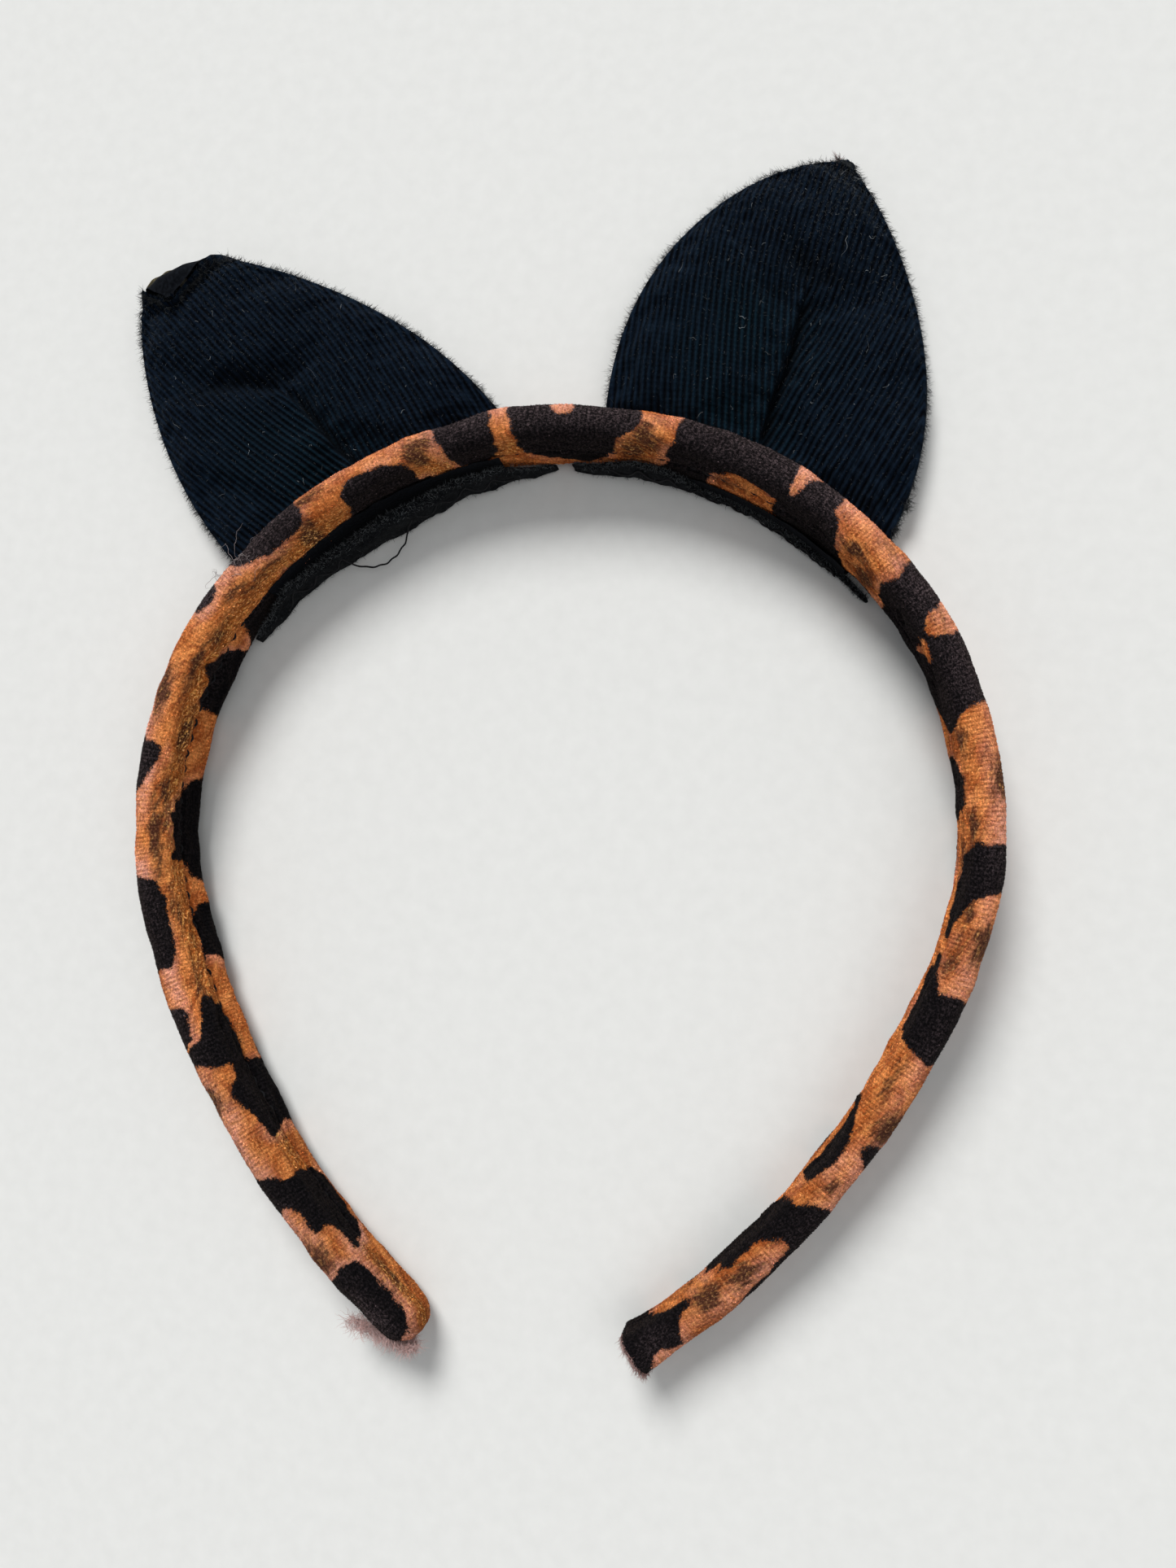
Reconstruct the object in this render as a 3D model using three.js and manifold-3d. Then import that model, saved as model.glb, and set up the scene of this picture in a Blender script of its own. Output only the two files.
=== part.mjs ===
// An animal ears headband. A springy plastic strip sits inside a sewn velvet sleeve. Two flat fabric ears stand on the strip:
// each is a front panel, a stiffener and a back panel, closed by an edge seam. Below its fold line the ear's fabric carries on
// as a tab that wraps under the strip's back edge and up its inner face, where a hand-sewn ribbon covers the raw end.
//
// Millimetres. The headband lies on its back edge, as it does on a table: +Z is the wearer's front, +Y is the top of the head,
// and +X is to the right of someone who looks at the wearer. The origin is under the middle of the whole part's box.
//
// The strip and its sleeve bend everywhere on the real object. Here each arm bends at one flex line, so the strip, the sleeve
// and the sleeve's seam thread are divided there, with a gap that closes as the arms open.
import * as THREE from "three";
import { mergeVertices } from "three/addons/utils/BufferGeometryUtils.js";
import Module from "manifold-3d";

const wasm = await Module();
wasm.setup();

const { degToRad, smoothstep, lerp, clamp } = THREE.MathUtils;

// ---- Driving dimensions ----

// Centreline of one half of the strip, from the middle of the crown to the tip: three arcs that run on from each other.
const CROWN_ARC = { radius: 63.3, angle: degToRad(50.4) };
const SIDE_ARC = { radius: 55.8, angle: degToRad(61) };
const ARM_ARC = { radius: 127, angle: degToRad(30) };
const ARCS = [CROWN_ARC, SIDE_ARC, ARM_ARC];

const STRIP_THICKNESS = 2.2;
const STRIP_HEIGHT_CROWN = 9.3; // front to back
const STRIP_HEIGHT_TIP = 5.8;
const STRIP_CORNER = 0.7;

const VELVET = 1.3; // thickness of the sleeve's cloth with its pile
const FIT = 0.3; // clearance between pieces that touch on the real object
const SLEEVE_CORNER = 2.1;
const SLEEVE_OVERHANG = 1.7; // sleeve past the end of the strip
const TIP_ROUNDING = 4.5; // length over which a tip rounds off
const TIP_ROUNDING_SHARE = 0.35; // share of the section's height and thickness lost at the very end

const SEAM_WIDTH = 1.1; // groove where the sleeve's long edges meet, on the inner face
const SEAM_DEPTH = 0.7;
const THREAD = 0.4; // sewing thread, across

const FLEX_HEADING = degToRad(66); // where an arm bends: the strip's direction there, from the crown's
const FLEX_GAP = 1.2;

const TAB_THICKNESS = 0.8;
const TAB_RISE = 8.4; // how far up the inner face the tab reaches, from the table
const TAB_INSET = 1.2; // the tab's ends stop this far inside the ear's base

const RIBBON_THICKNESS = 1;
const RIBBON_FOOT = 0.4; // the ribbon's lower edge above the table
const RIBBON_HEIGHT = 6.2;
const RIBBON_END_HEIGHT = 2.4;
const RIBBON_TAPER = 12; // length of each tapered end
const RIBBON_STITCH_PITCH = 5;
const RIBBON_STITCH_SWING = 1.1; // the stitches' zigzag, up and down

const PANEL_FRONT = 0.7;
const PANEL_BACK = 0.6;
const STIFFENER = 0.6;
const STIFFENER_INSET = 3.2; // from the ear's edge
const EDGE_THREAD_INSET = 1.6;
const EAR_FOLD_GAP = 1.3; // between the sleeve's outer face and the ear's base, so that the ear can fold
const EAR_CUP = 2.4; // how far the ear's edges stand forward of its middle
const EAR_TIP_WIDTH = 1.6;
const DART_START = 4; // a dart's lowest stitch above the ear's base
const EAR_TIP_INSET = 1.8; // an inset outline stops short of the tip by this many insets
const EAR_BASE_GRIP = 0.94; // how much of the strip's length the base covers, for each millimetre of the ear's width

// An ear's leaf shape: half its width against its height, as the handles of one curve.
const LEAF_LOWER_HANDLE = { width: 1.17, height: 0.36 };
const LEAF_UPPER_HANDLE = { width: 0.74, height: 0.85 };

// heading: where the ear's middle sits on the crown. lean: how far the tip stands to the side of the base's middle.
// rise: how far the tip stands off the table. dart: how far up its sewn dart goes. gape: how far the ribbon's middle stands
// off the tab. ribbonPast: how far the ribbon runs on past each corner of the ear.
const EARS = {
  left: {
    heading: degToRad(-30.5),
    halfWidth: 24.6,
    height: 51,
    lean: -13.5,
    rise: 6,
    dart: 20,
    gape: 2.6,
    ribbonPast: 5.5,
  },
  right: {
    heading: degToRad(24.3),
    halfWidth: 24.3,
    height: 46.9,
    lean: -7.9,
    rise: 1.5,
    dart: 27,
    gape: 0.3,
    ribbonPast: 3,
  },
};

// The loose loop of thread on the left ribbon: where it starts and ends along the ribbon, and how far it stands out.
const LOOP = { from: 0.55, to: 0.34, reach: 3.2 };

// ---- Sizes that follow from them ----

const SLEEVE_THICKNESS = STRIP_THICKNESS + 2 * (VELVET + FIT);
const SLEEVE_FACE = SLEEVE_THICKNESS / 2; // from the centreline to the sleeve's inner or outer face
const HALF_LENGTH = ARCS.reduce((sum, arc) => sum + arc.radius * arc.angle, 0);
const SLEEVE_END = HALF_LENGTH + SLEEVE_OVERHANG + FIT;
const CROWN_BOTTOM = TAB_THICKNESS + FIT; // the crown rests on the tabs, and the tips on the table
const EAR_STACK = PANEL_BACK + FIT + STIFFENER + FIT + PANEL_FRONT;

// ---- The strip's path ----

// Where the centreline is, and which way it heads, at a distance along it from the middle of the crown.
function bandFrame(station) {
  const side = station < 0 ? -1 : 1;
  let ahead = Math.abs(station);
  let heading = 0;
  let x = 0;
  let y = 0;
  for (const arc of ARCS) {
    const isLast = arc === ARCS[ARCS.length - 1];
    const turn = isLast ? ahead / arc.radius : Math.min(ahead / arc.radius, arc.angle);
    x += arc.radius * (Math.sin(heading + turn) - Math.sin(heading));
    y += arc.radius * (Math.cos(heading + turn) - Math.cos(heading));
    heading += turn;
    ahead -= turn * arc.radius;
    if (ahead < 1e-9) break;
  }
  return { x: side * x, y, heading: side * heading };
}

// The point at an offset from the centreline, outward, and a height above the table.
function bandPoint(station, offset, z) {
  const { x, y, heading } = bandFrame(station);
  return new THREE.Vector3(x + offset * Math.sin(heading), y + offset * Math.cos(heading), z);
}

// The station at which the strip has turned to this heading.
function stationAt(heading) {
  const side = Math.sign(heading);
  let turnLeft = Math.abs(heading);
  let station = 0;
  for (const arc of ARCS) {
    const turn = Math.min(turnLeft, arc.angle);
    station += turn * arc.radius;
    turnLeft -= turn;
  }
  return side * station;
}

const FLEX_STATION = stationAt(FLEX_HEADING);

// 0 up to the flex line and 1 at the tip.
const armShare = (station) => clamp((Math.abs(station) - FLEX_STATION) / (HALF_LENGTH - FLEX_STATION), 0, 1);

const sleeveBottom = (station) => CROWN_BOTTOM * (1 - armShare(station));
const stripHeight = (station) => lerp(STRIP_HEIGHT_CROWN, STRIP_HEIGHT_TIP, armShare(station));
const sleeveHeight = (station) => stripHeight(station) + 2 * (VELVET + FIT);
const middleHeight = (station) => sleeveBottom(station) + sleeveHeight(station) / 2;

// ---- Shapes ----

// A rounded rectangle as [offset, height] points, counterclockwise.
function roundedSection(thickness, height, corner, centreHeight, cornerSteps = 3) {
  const radius = Math.min(corner, thickness / 2 - 0.05, height / 2 - 0.05);
  const points = [];
  for (const [sideways, up, start] of [[1, 1, 0], [-1, 1, 90], [-1, -1, 180], [1, -1, 270]]) {
    for (let i = 0; i <= cornerSteps; i++) {
      const angle = degToRad(start + (90 * i) / cornerSteps);
      points.push([
        sideways * (thickness / 2 - radius) + radius * Math.cos(angle),
        centreHeight + up * (height / 2 - radius) + radius * Math.sin(angle),
      ]);
    }
  }
  return points;
}

function boxSection(offsetFrom, offsetTo, zFrom, zTo) {
  return [[offsetFrom, zFrom], [offsetTo, zFrom], [offsetTo, zTo], [offsetFrom, zTo]];
}

// Evenly spaced stations, in rising order.
const stations = (from, to, steps) => Array.from({ length: steps + 1 }, (_, i) => lerp(from, to, i / steps));

// A closed body whose counterclockwise section changes along the strip's path.
function sweep(sectionAt, along) {
  const rings = along.map((station) => sectionAt(station).map(([offset, z]) => bandPoint(station, offset, z)));
  const count = rings[0].length;
  const index = [];
  for (let ring = 0; ring < rings.length - 1; ring++) {
    for (let i = 0; i < count; i++) {
      const a = ring * count + i;
      const b = ring * count + ((i + 1) % count);
      index.push(a, b, b + count, a, b + count, a + count);
    }
  }
  const last = (rings.length - 1) * count;
  const outline = sectionAt(along[0]).map(([offset, z]) => new THREE.Vector2(offset, z));
  for (const triangle of THREE.ShapeUtils.triangulateShape(outline, [])) {
    const turnsLeft = !THREE.ShapeUtils.isClockWise(triangle.map((i) => outline[i]));
    const [a, b, c] = turnsLeft ? triangle : [triangle[0], triangle[2], triangle[1]];
    index.push(a, c, b, last + a, last + b, last + c);
  }
  return new THREE.BufferGeometry().setFromPoints(rings.flat()).setIndex(index);
}

// A closed curved sheet. lower and upper give its two faces over across and along, which both run from 0 to 1.
function sheet(lower, upper, acrossSteps, alongSteps) {
  const points = [];
  for (const face of [lower, upper]) {
    for (let row = 0; row <= alongSteps; row++) {
      for (let column = 0; column <= acrossSteps; column++) {
        points.push(face(column / acrossSteps, row / alongSteps));
      }
    }
  }
  const width = acrossSteps + 1;
  const upperStart = width * (alongSteps + 1);
  const index = [];
  const quad = (a, b, c, d) => index.push(a, b, c, a, c, d);
  for (let row = 0; row < alongSteps; row++) {
    for (let column = 0; column < acrossSteps; column++) {
      const a = row * width + column;
      quad(a, a + width, a + width + 1, a + 1);
      quad(upperStart + a, upperStart + a + 1, upperStart + a + width + 1, upperStart + a + width);
    }
    const left = row * width;
    const right = left + acrossSteps;
    quad(left, upperStart + left, upperStart + left + width, left + width);
    quad(right, right + width, upperStart + right + width, upperStart + right);
  }
  for (let column = 0; column < acrossSteps; column++) {
    const base = column;
    const tip = alongSteps * width + column;
    quad(base, base + 1, upperStart + base + 1, upperStart + base);
    quad(tip + 1, tip, upperStart + tip, upperStart + tip + 1);
  }
  return new THREE.BufferGeometry().setFromPoints(points).setIndex(index);
}

// A round thread through points.
function thread(points, steps) {
  const sides = 6;
  const circle = Array.from({ length: sides }, (_, i) => {
    const angle = (2 * Math.PI * i) / sides;
    return new THREE.Vector2((THREAD / 2) * Math.cos(angle), (THREAD / 2) * Math.sin(angle));
  });
  return new THREE.ExtrudeGeometry(new THREE.Shape(circle), {
    steps,
    extrudePath: new THREE.CatmullRomCurve3(points),
  });
}

// Cuts one closed geometry out of another.
function cut(geometry, ...cutters) {
  const solid = (closed) => {
    const bare = closed.clone();
    bare.deleteAttribute("normal");
    bare.deleteAttribute("uv");
    const merged = mergeVertices(bare, 1e-4);
    return new wasm.Manifold(
      new wasm.Mesh({
        numProp: 3,
        vertProperties: merged.attributes.position.array,
        triVerts: new Uint32Array(merged.index.array),
      }),
    );
  };
  const result = cutters.reduce((left, cutter) => left.subtract(solid(cutter)), solid(geometry)).getMesh();
  return new THREE.BufferGeometry()
    .setAttribute("position", new THREE.BufferAttribute(Float32Array.from(result.vertProperties), 3))
    .setIndex(new THREE.BufferAttribute(Uint32Array.from(result.triVerts), 1));
}

// ---- Materials ----

const material = (color, roughness) => new THREE.MeshStandardMaterial({ color, roughness, metalness: 0 });
const VELVET_LOOK = material(0xb5652f, 0.85);
const STRIP_LOOK = material(0x1b1b1d, 0.45);
const KNIT_LOOK = material(0x0d1118, 0.95);
const LINING_LOOK = material(0x2a2822, 0.8);
const FELT_LOOK = material(0x3a3a3c, 1);
const THREAD_LOOK = material(0x111113, 0.7);

function addMesh(group, name, geometry, look) {
  const mesh = new THREE.Mesh(geometry, look);
  mesh.name = name;
  mesh.position.copy(group.userData.origin ?? new THREE.Vector3()).negate();
  group.add(mesh);
}

// A group whose own origin is the point that its body turns about. Its meshes stay in the headband's frame.
function movingGroup(parent, origin) {
  const group = new THREE.Group();
  group.position.copy(origin);
  group.userData.origin = origin;
  parent.add(group);
  return group;
}

// ---- The strip and its sleeve ----

// What is left of a section's size as it rounds off towards an end.
function tipShare(station, end) {
  const into = clamp((Math.abs(station) - (end - TIP_ROUNDING)) / TIP_ROUNDING, 0, 1);
  return 1 - TIP_ROUNDING_SHARE * into * into;
}

const stripSection = (spare) => (station) => {
  const share = tipShare(station, HALF_LENGTH);
  return roundedSection(
    (STRIP_THICKNESS + 2 * spare) * share,
    (stripHeight(station) + 2 * spare) * share,
    STRIP_CORNER + spare,
    middleHeight(station),
    2,
  );
};

const sleeveSection = (station) => {
  const share = tipShare(station, SLEEVE_END);
  return roundedSection(SLEEVE_THICKNESS * share, sleeveHeight(station) * share, SLEEVE_CORNER, middleHeight(station));
};

const seamGroove = (station) =>
  boxSection(
    -SLEEVE_FACE - 1,
    -SLEEVE_FACE * tipShare(station, SLEEVE_END) + SEAM_DEPTH,
    middleHeight(station) - SEAM_WIDTH / 2,
    middleHeight(station) + SEAM_WIDTH / 2,
  );

const seamThreadPoint = (station) =>
  bandPoint(
    station,
    -SLEEVE_FACE * tipShare(station, SLEEVE_END) + SEAM_DEPTH - FIT - THREAD / 2,
    middleHeight(station),
  );

// One length of the strip, its sleeve and the seam's thread. An end that is a tip of the headband is closed.
function addBandLength(group, suffix, from, to, steps) {
  const past = 2; // cutters run this far out of an open end
  const isTip = (station) => Math.abs(station) >= HALF_LENGTH - 1e-6;
  const sleeveAlong = stations(
    isTip(from) ? -SLEEVE_END : from,
    isTip(to) ? SLEEVE_END : to,
    steps,
  );
  const hollowAlong = stations(
    isTip(from) ? from - FIT : from - past,
    isTip(to) ? to + FIT : to + past,
    steps,
  );
  const seamInset = 4; // the seam's ends are tucked in at the tips
  const seamFrom = isTip(from) ? from + seamInset : from;
  const seamTo = isTip(to) ? to - seamInset : to;
  const sleeve = cut(
    sweep(sleeveSection, sleeveAlong),
    sweep(stripSection(FIT), hollowAlong),
    sweep(seamGroove, stations(isTip(from) ? seamFrom : from - past, isTip(to) ? seamTo : to + past, steps)),
  );
  addMesh(group, `strip_${suffix}`, sweep(stripSection(0), stations(from, to, steps)), STRIP_LOOK);
  addMesh(group, `sleeve_${suffix}`, sleeve, VELVET_LOOK);
  const threadStations = stations(
    isTip(from) ? seamFrom + FIT : from,
    isTip(to) ? seamTo - FIT : to,
    steps,
  );
  addMesh(group, `sleeve_seam_thread_${suffix}`, thread(threadStations.map(seamThreadPoint), steps), THREAD_LOOK);
}

// ---- The ears ----

const leafCurve = new THREE.CubicBezierCurve(
  new THREE.Vector2(1, 0),
  new THREE.Vector2(LEAF_LOWER_HANDLE.width, LEAF_LOWER_HANDLE.height),
  new THREE.Vector2(LEAF_UPPER_HANDLE.width, LEAF_UPPER_HANDLE.height),
  new THREE.Vector2(0, 1),
);

// A point of the ear's cloth, at a height above its back face. u is the distance across from the ear's middle line, and v the
// distance up from its base. The base follows the sleeve's outer face, and the leaf takes over above it.
function earSurface(ear, u, v, above) {
  const middle = stationAt(ear.heading);
  const outward = new THREE.Vector2(Math.sin(ear.heading), Math.cos(ear.heading));
  const rightward = new THREE.Vector2(outward.y, -outward.x);
  const onFace = bandPoint(middle, SLEEVE_FACE + EAR_FOLD_GAP, 0);
  const foot = bandPoint(middle + EAR_BASE_GRIP * u, SLEEVE_FACE + EAR_FOLD_GAP, 0);
  const up = v / ear.height;
  const hold = (1 - up) ** 3;
  const onLine = (across, along) => [
    onFace.x + across * rightward.x + along * outward.x,
    onFace.y + across * rightward.y + along * outward.y,
  ];
  const flatFoot = onLine(u, 0);
  const free = onLine(u + ear.lean * up, v);
  const cup = EAR_CUP * (u / ear.halfWidth) ** 2 * Math.sin(Math.PI * Math.sqrt(up)) ** 2;
  return new THREE.Vector3(
    free[0] + hold * (foot.x - flatFoot[0]),
    free[1] + hold * (foot.y - flatFoot[1]),
    above + cup + ear.rise * up ** 1.5,
  );
}

// The same, over across and along from 0 to 1 of the leaf shape, moved in from its edge by inset.
function earPoint(ear, across, along, above, inset = 0) {
  const leaf = leafCurve.getPoint(along);
  const halfWidth = Math.max(leaf.x * (ear.halfWidth - inset), EAR_TIP_WIDTH / 2);
  const height = ear.height - EAR_TIP_INSET * inset;
  return earSurface(ear, (2 * across - 1) * halfWidth, leaf.y * height, above);
}

function panel(ear, bottom, thickness, inset, acrossSteps, alongSteps) {
  const face = (above) => (across, along) => earPoint(ear, across, along, above, inset);
  return sheet(face(bottom), face(bottom + thickness), acrossSteps, alongSteps);
}

// The seam thread runs round the ear's edge, between the two panels, outside the stiffener.
function edgeThreadPoints(ear) {
  const height = PANEL_BACK + (EAR_STACK - PANEL_BACK - PANEL_FRONT) / 2;
  const steps = 12;
  const up = stations(0.06, 0.93, steps).map((along) => earPoint(ear, 0, along, height, EDGE_THREAD_INSET));
  const down = stations(0.06, 0.93, steps).map((along) => earPoint(ear, 1, along, height, EDGE_THREAD_INSET));
  return [...up, ...down.reverse()];
}

// The dart's stitches stand on the front panel, up the ear's middle line.
function dartThreadPoints(ear) {
  const height = EAR_STACK + FIT + THREAD / 2;
  return stations(DART_START, ear.dart, 6).map((v) => earSurface(ear, 0, v, height));
}

function tabSection() {
  const outerEnd = SLEEVE_FACE + FIT / 2;
  const innerFace = -(SLEEVE_FACE + FIT);
  return [
    [outerEnd, 0],
    [outerEnd, TAB_THICKNESS],
    [innerFace, TAB_THICKNESS],
    [innerFace, TAB_RISE],
    [innerFace - TAB_THICKNESS, TAB_RISE],
    [innerFace - TAB_THICKNESS, 0],
  ];
}

// Along a ribbon, share runs from 0 at its end towards the left to 1 at its end towards the right.
function ribbonShape(ear) {
  const middle = stationAt(ear.heading);
  const tabHalf = ear.halfWidth - TAB_INSET;
  const half = ear.halfWidth + ear.ribbonPast;
  const bare = -(SLEEVE_FACE + FIT);
  const overTab = bare - TAB_THICKNESS - FIT;
  const at = (share) => lerp(middle - half, middle + half, share);
  return {
    at,
    // Offset of the face towards the tab.
    back: (station) => {
      const fromMiddle = Math.abs(station - middle);
      const onTab = 1 - smoothstep(fromMiddle, tabHalf + 0.5, half);
      const gape = ear.gape * (1 - smoothstep(fromMiddle, 0, tabHalf));
      return lerp(bare, overTab, onTab) - gape;
    },
    top: (station) => {
      const toEnd = half - Math.abs(station - middle);
      return RIBBON_FOOT + lerp(RIBBON_END_HEIGHT, RIBBON_HEIGHT, smoothstep(toEnd, 0, RIBBON_TAPER));
    },
  };
}

function ribbon(ear, steps) {
  const shape = ribbonShape(ear);
  const section = (station) => {
    const back = shape.back(station);
    return boxSection(back - RIBBON_THICKNESS, back, RIBBON_FOOT, shape.top(station));
  };
  return sweep(section, stations(shape.at(0), shape.at(1), steps));
}

// Hand stitches in a zigzag over the ribbon's face. A loop, if there is one, swings clear of the face between two of them.
function ribbonStitches(ear, loop) {
  const shape = ribbonShape(ear);
  const from = 0.12;
  const to = 0.88;
  const count = Math.round(((to - from) * (shape.at(1) - shape.at(0))) / RIBBON_STITCH_PITCH);
  return stations(from, to, count).map((share, i) => {
    const station = shape.at(share);
    const inLoop = loop && share > loop.to && share < loop.from;
    const swing = inLoop ? Math.sin((Math.PI * (share - loop.to)) / (loop.from - loop.to)) : 0;
    const offset = shape.back(station) - RIBBON_THICKNESS - FIT - THREAD / 2 - (inLoop ? loop.reach * swing : 0);
    const middle = (RIBBON_FOOT + shape.top(station)) / 2;
    return bandPoint(station, offset, middle + (inLoop ? 0 : RIBBON_STITCH_SWING * (i % 2 ? 1 : -1)));
  });
}

function addEar(root, side) {
  const ear = EARS[side];
  const middle = stationAt(ear.heading);
  const tabHalf = ear.halfWidth - TAB_INSET;
  const group = movingGroup(root, bandPoint(middle, SLEEVE_FACE + EAR_FOLD_GAP, EAR_STACK / 2));
  const stiffenerBottom = PANEL_BACK + FIT;
  const frontBottom = stiffenerBottom + STIFFENER + FIT;
  addMesh(group, `ear_${side}_back_panel`, panel(ear, 0, PANEL_BACK, 0, 12, 14), LINING_LOOK);
  addMesh(
    group,
    `ear_${side}_stiffener`,
    panel(ear, stiffenerBottom, STIFFENER, STIFFENER_INSET, 8, 10),
    FELT_LOOK,
  );
  addMesh(group, `ear_${side}_front_panel`, panel(ear, frontBottom, PANEL_FRONT, 0, 12, 14), KNIT_LOOK);
  addMesh(group, `ear_${side}_edge_thread`, thread(edgeThreadPoints(ear), 48), THREAD_LOOK);
  addMesh(group, `ear_${side}_dart_thread`, thread(dartThreadPoints(ear), 12), THREAD_LOOK);
  addMesh(root, `ear_${side}_tab`, sweep(tabSection, stations(middle - tabHalf, middle + tabHalf, 10)), KNIT_LOOK);
  addMesh(root, `ear_${side}_ribbon`, ribbon(ear, 16), KNIT_LOOK);
  const stitches = ribbonStitches(ear, side === "left" ? LOOP : null);
  addMesh(root, `ear_${side}_ribbon_thread`, thread(stitches, stitches.length * 4), THREAD_LOOK);
}

// ---- The headband ----

const headband = new THREE.Group();
const crownEnd = FLEX_STATION - FLEX_GAP / 2;
const armStart = FLEX_STATION + FLEX_GAP / 2;
addBandLength(headband, "crown", -crownEnd, crownEnd, 25);

const armLeft = movingGroup(headband, bandPoint(-FLEX_STATION, 0, middleHeight(FLEX_STATION)));
addBandLength(armLeft, "arm_left", -HALF_LENGTH, -armStart, 20);

const armRight = movingGroup(headband, bandPoint(FLEX_STATION, 0, middleHeight(FLEX_STATION)));
addBandLength(armRight, "arm_right", armStart, HALF_LENGTH, 20);

addEar(headband, "left");
addEar(headband, "right");

// The part's frame: the origin is under the middle of its box, on the table.
const box = new THREE.Box3().setFromObject(headband);
headband.position.set(-(box.min.x + box.max.x) / 2, -(box.min.y + box.max.y) / 2, -box.min.z);

export default headband;
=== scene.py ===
"""The looks of an animal ears headband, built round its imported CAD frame.

The headband lies on its back edge. Lengths in this file are millimetres, in the band's own frame: its
origin is the middle of the crown on the strip's centreline, at table height. A piece is moved into the row
frame, in metres, as it is made.

Along the band, a place is a station (the distance from the middle of the crown, negative to the left) and a
girth (the distance round the sleeve's section from the middle of its front edge, positive towards the outer
face).
"""

import math

import bpy
import numpy as np
from mathutils import Matrix, Vector


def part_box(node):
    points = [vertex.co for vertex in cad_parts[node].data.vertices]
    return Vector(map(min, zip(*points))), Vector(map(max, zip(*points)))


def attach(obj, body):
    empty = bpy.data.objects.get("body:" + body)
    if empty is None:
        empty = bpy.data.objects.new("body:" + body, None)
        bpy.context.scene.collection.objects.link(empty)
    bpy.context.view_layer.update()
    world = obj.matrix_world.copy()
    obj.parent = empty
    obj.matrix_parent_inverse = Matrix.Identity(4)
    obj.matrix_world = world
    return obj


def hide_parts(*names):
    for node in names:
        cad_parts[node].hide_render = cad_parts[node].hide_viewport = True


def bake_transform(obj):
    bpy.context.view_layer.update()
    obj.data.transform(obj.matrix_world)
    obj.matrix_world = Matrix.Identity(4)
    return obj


MM = 0.001

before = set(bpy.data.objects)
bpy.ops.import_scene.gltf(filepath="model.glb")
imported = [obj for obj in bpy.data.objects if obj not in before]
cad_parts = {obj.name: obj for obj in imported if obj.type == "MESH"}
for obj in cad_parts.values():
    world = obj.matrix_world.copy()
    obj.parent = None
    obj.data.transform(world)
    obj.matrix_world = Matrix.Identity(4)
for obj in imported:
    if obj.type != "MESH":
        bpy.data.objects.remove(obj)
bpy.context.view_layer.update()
crown_low, crown_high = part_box("sleeve_crown")

# ---- Sizes of the CAD model that the cloth follows ----

ARC_RADII = (63.3, 55.8, 127.0)
ARC_ANGLES = tuple(math.radians(a) for a in (50.4, 61.0, 30.0))
HALF_LENGTH = sum(r * a for r, a in zip(ARC_RADII, ARC_ANGLES))
SLEEVE_END = HALF_LENGTH + 2.0
FLEX_HEADING = math.radians(66.0)
STRIP_THICKNESS = 2.2
CLOTH_AND_FIT = 1.6
FACE = STRIP_THICKNESS / 2 + CLOTH_AND_FIT
STRIP_HEIGHTS = (9.3, 5.8)
CROWN_BOTTOM = 1.1
CORNER = 2.1
EAR_GAP = 1.3
EAR_STACK = 2.5
EAR_CUP = 2.4
EAR_GRIP = 0.94
EAR_TIP_WIDTH = 1.6
EARS = {
    "left": {
        "heading": math.radians(-30.5), "half": 25.1, "height": 50.3, "lean": -13.5, "rise": 6.0,
        "leaf": ((1.0, 0.0), (1.03, 0.36), (0.57, 0.85), (0.0, 1.0)),
    },
    "right": {
        "heading": math.radians(24.3), "half": 24.3, "height": 46.9, "lean": -7.9, "rise": 1.5,
        "leaf": ((1.0, 0.0), (1.16, 0.36), (0.55, 0.84), (0.0, 1.0)),
        "inner_leaf": ((1.0, 0.0), (1.22, 0.46), (0.64, 0.90), (0.0, 1.0)),
    },
}
TAB_INSET = 1.2
TAB_RISES = {"left": 8.4, "right": 4.2}

FLAT_END = FACE - CORNER  # half the flat of the front edge
QUARTER = math.pi * CORNER / 2
FLAT_FACE = STRIP_HEIGHTS[0] + 2 * CLOTH_AND_FIT - 2 * CORNER
GIRTH = 4 * FLAT_END + 4 * QUARTER + 2 * FLAT_FACE
SEAM = -(FLAT_END + QUARTER + FLAT_FACE / 2)  # the girth of the seam, on the inner face

ORIGIN = np.array([(crown_low.x + crown_high.x) / 2 / MM, crown_high.y / MM - FACE, 0.0])

# ---- Sizes of the cloth ----

SIGNS = {"left": -1, "right": 1}
THIRDS = (0.0, 2.094, 4.189)  # the corners of a fibre's three-sided section

SPLIT_STATION = 5.0  # the band is made in two lengths, which meet under black print
TIP_ROUND = 5.0
ENDS = {"left": SLEEVE_END + 2.8, "right": SLEEVE_END + 1.0}  # the velvet goes past the CAD sleeve
SKIN_GRID, WALL_ROWS = (620, 104), 70
WALL_DEPTH = 1.2
STITCH_PITCH = 2.6
VELVET_RIB_PITCH = 0.62
PILE = {"count": 49500, "length": 0.85, "width": 0.065, "sunk": 0.08}
HIDDEN_PATCHES = 46  # blobs of print on the outer face and the back edge

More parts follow.
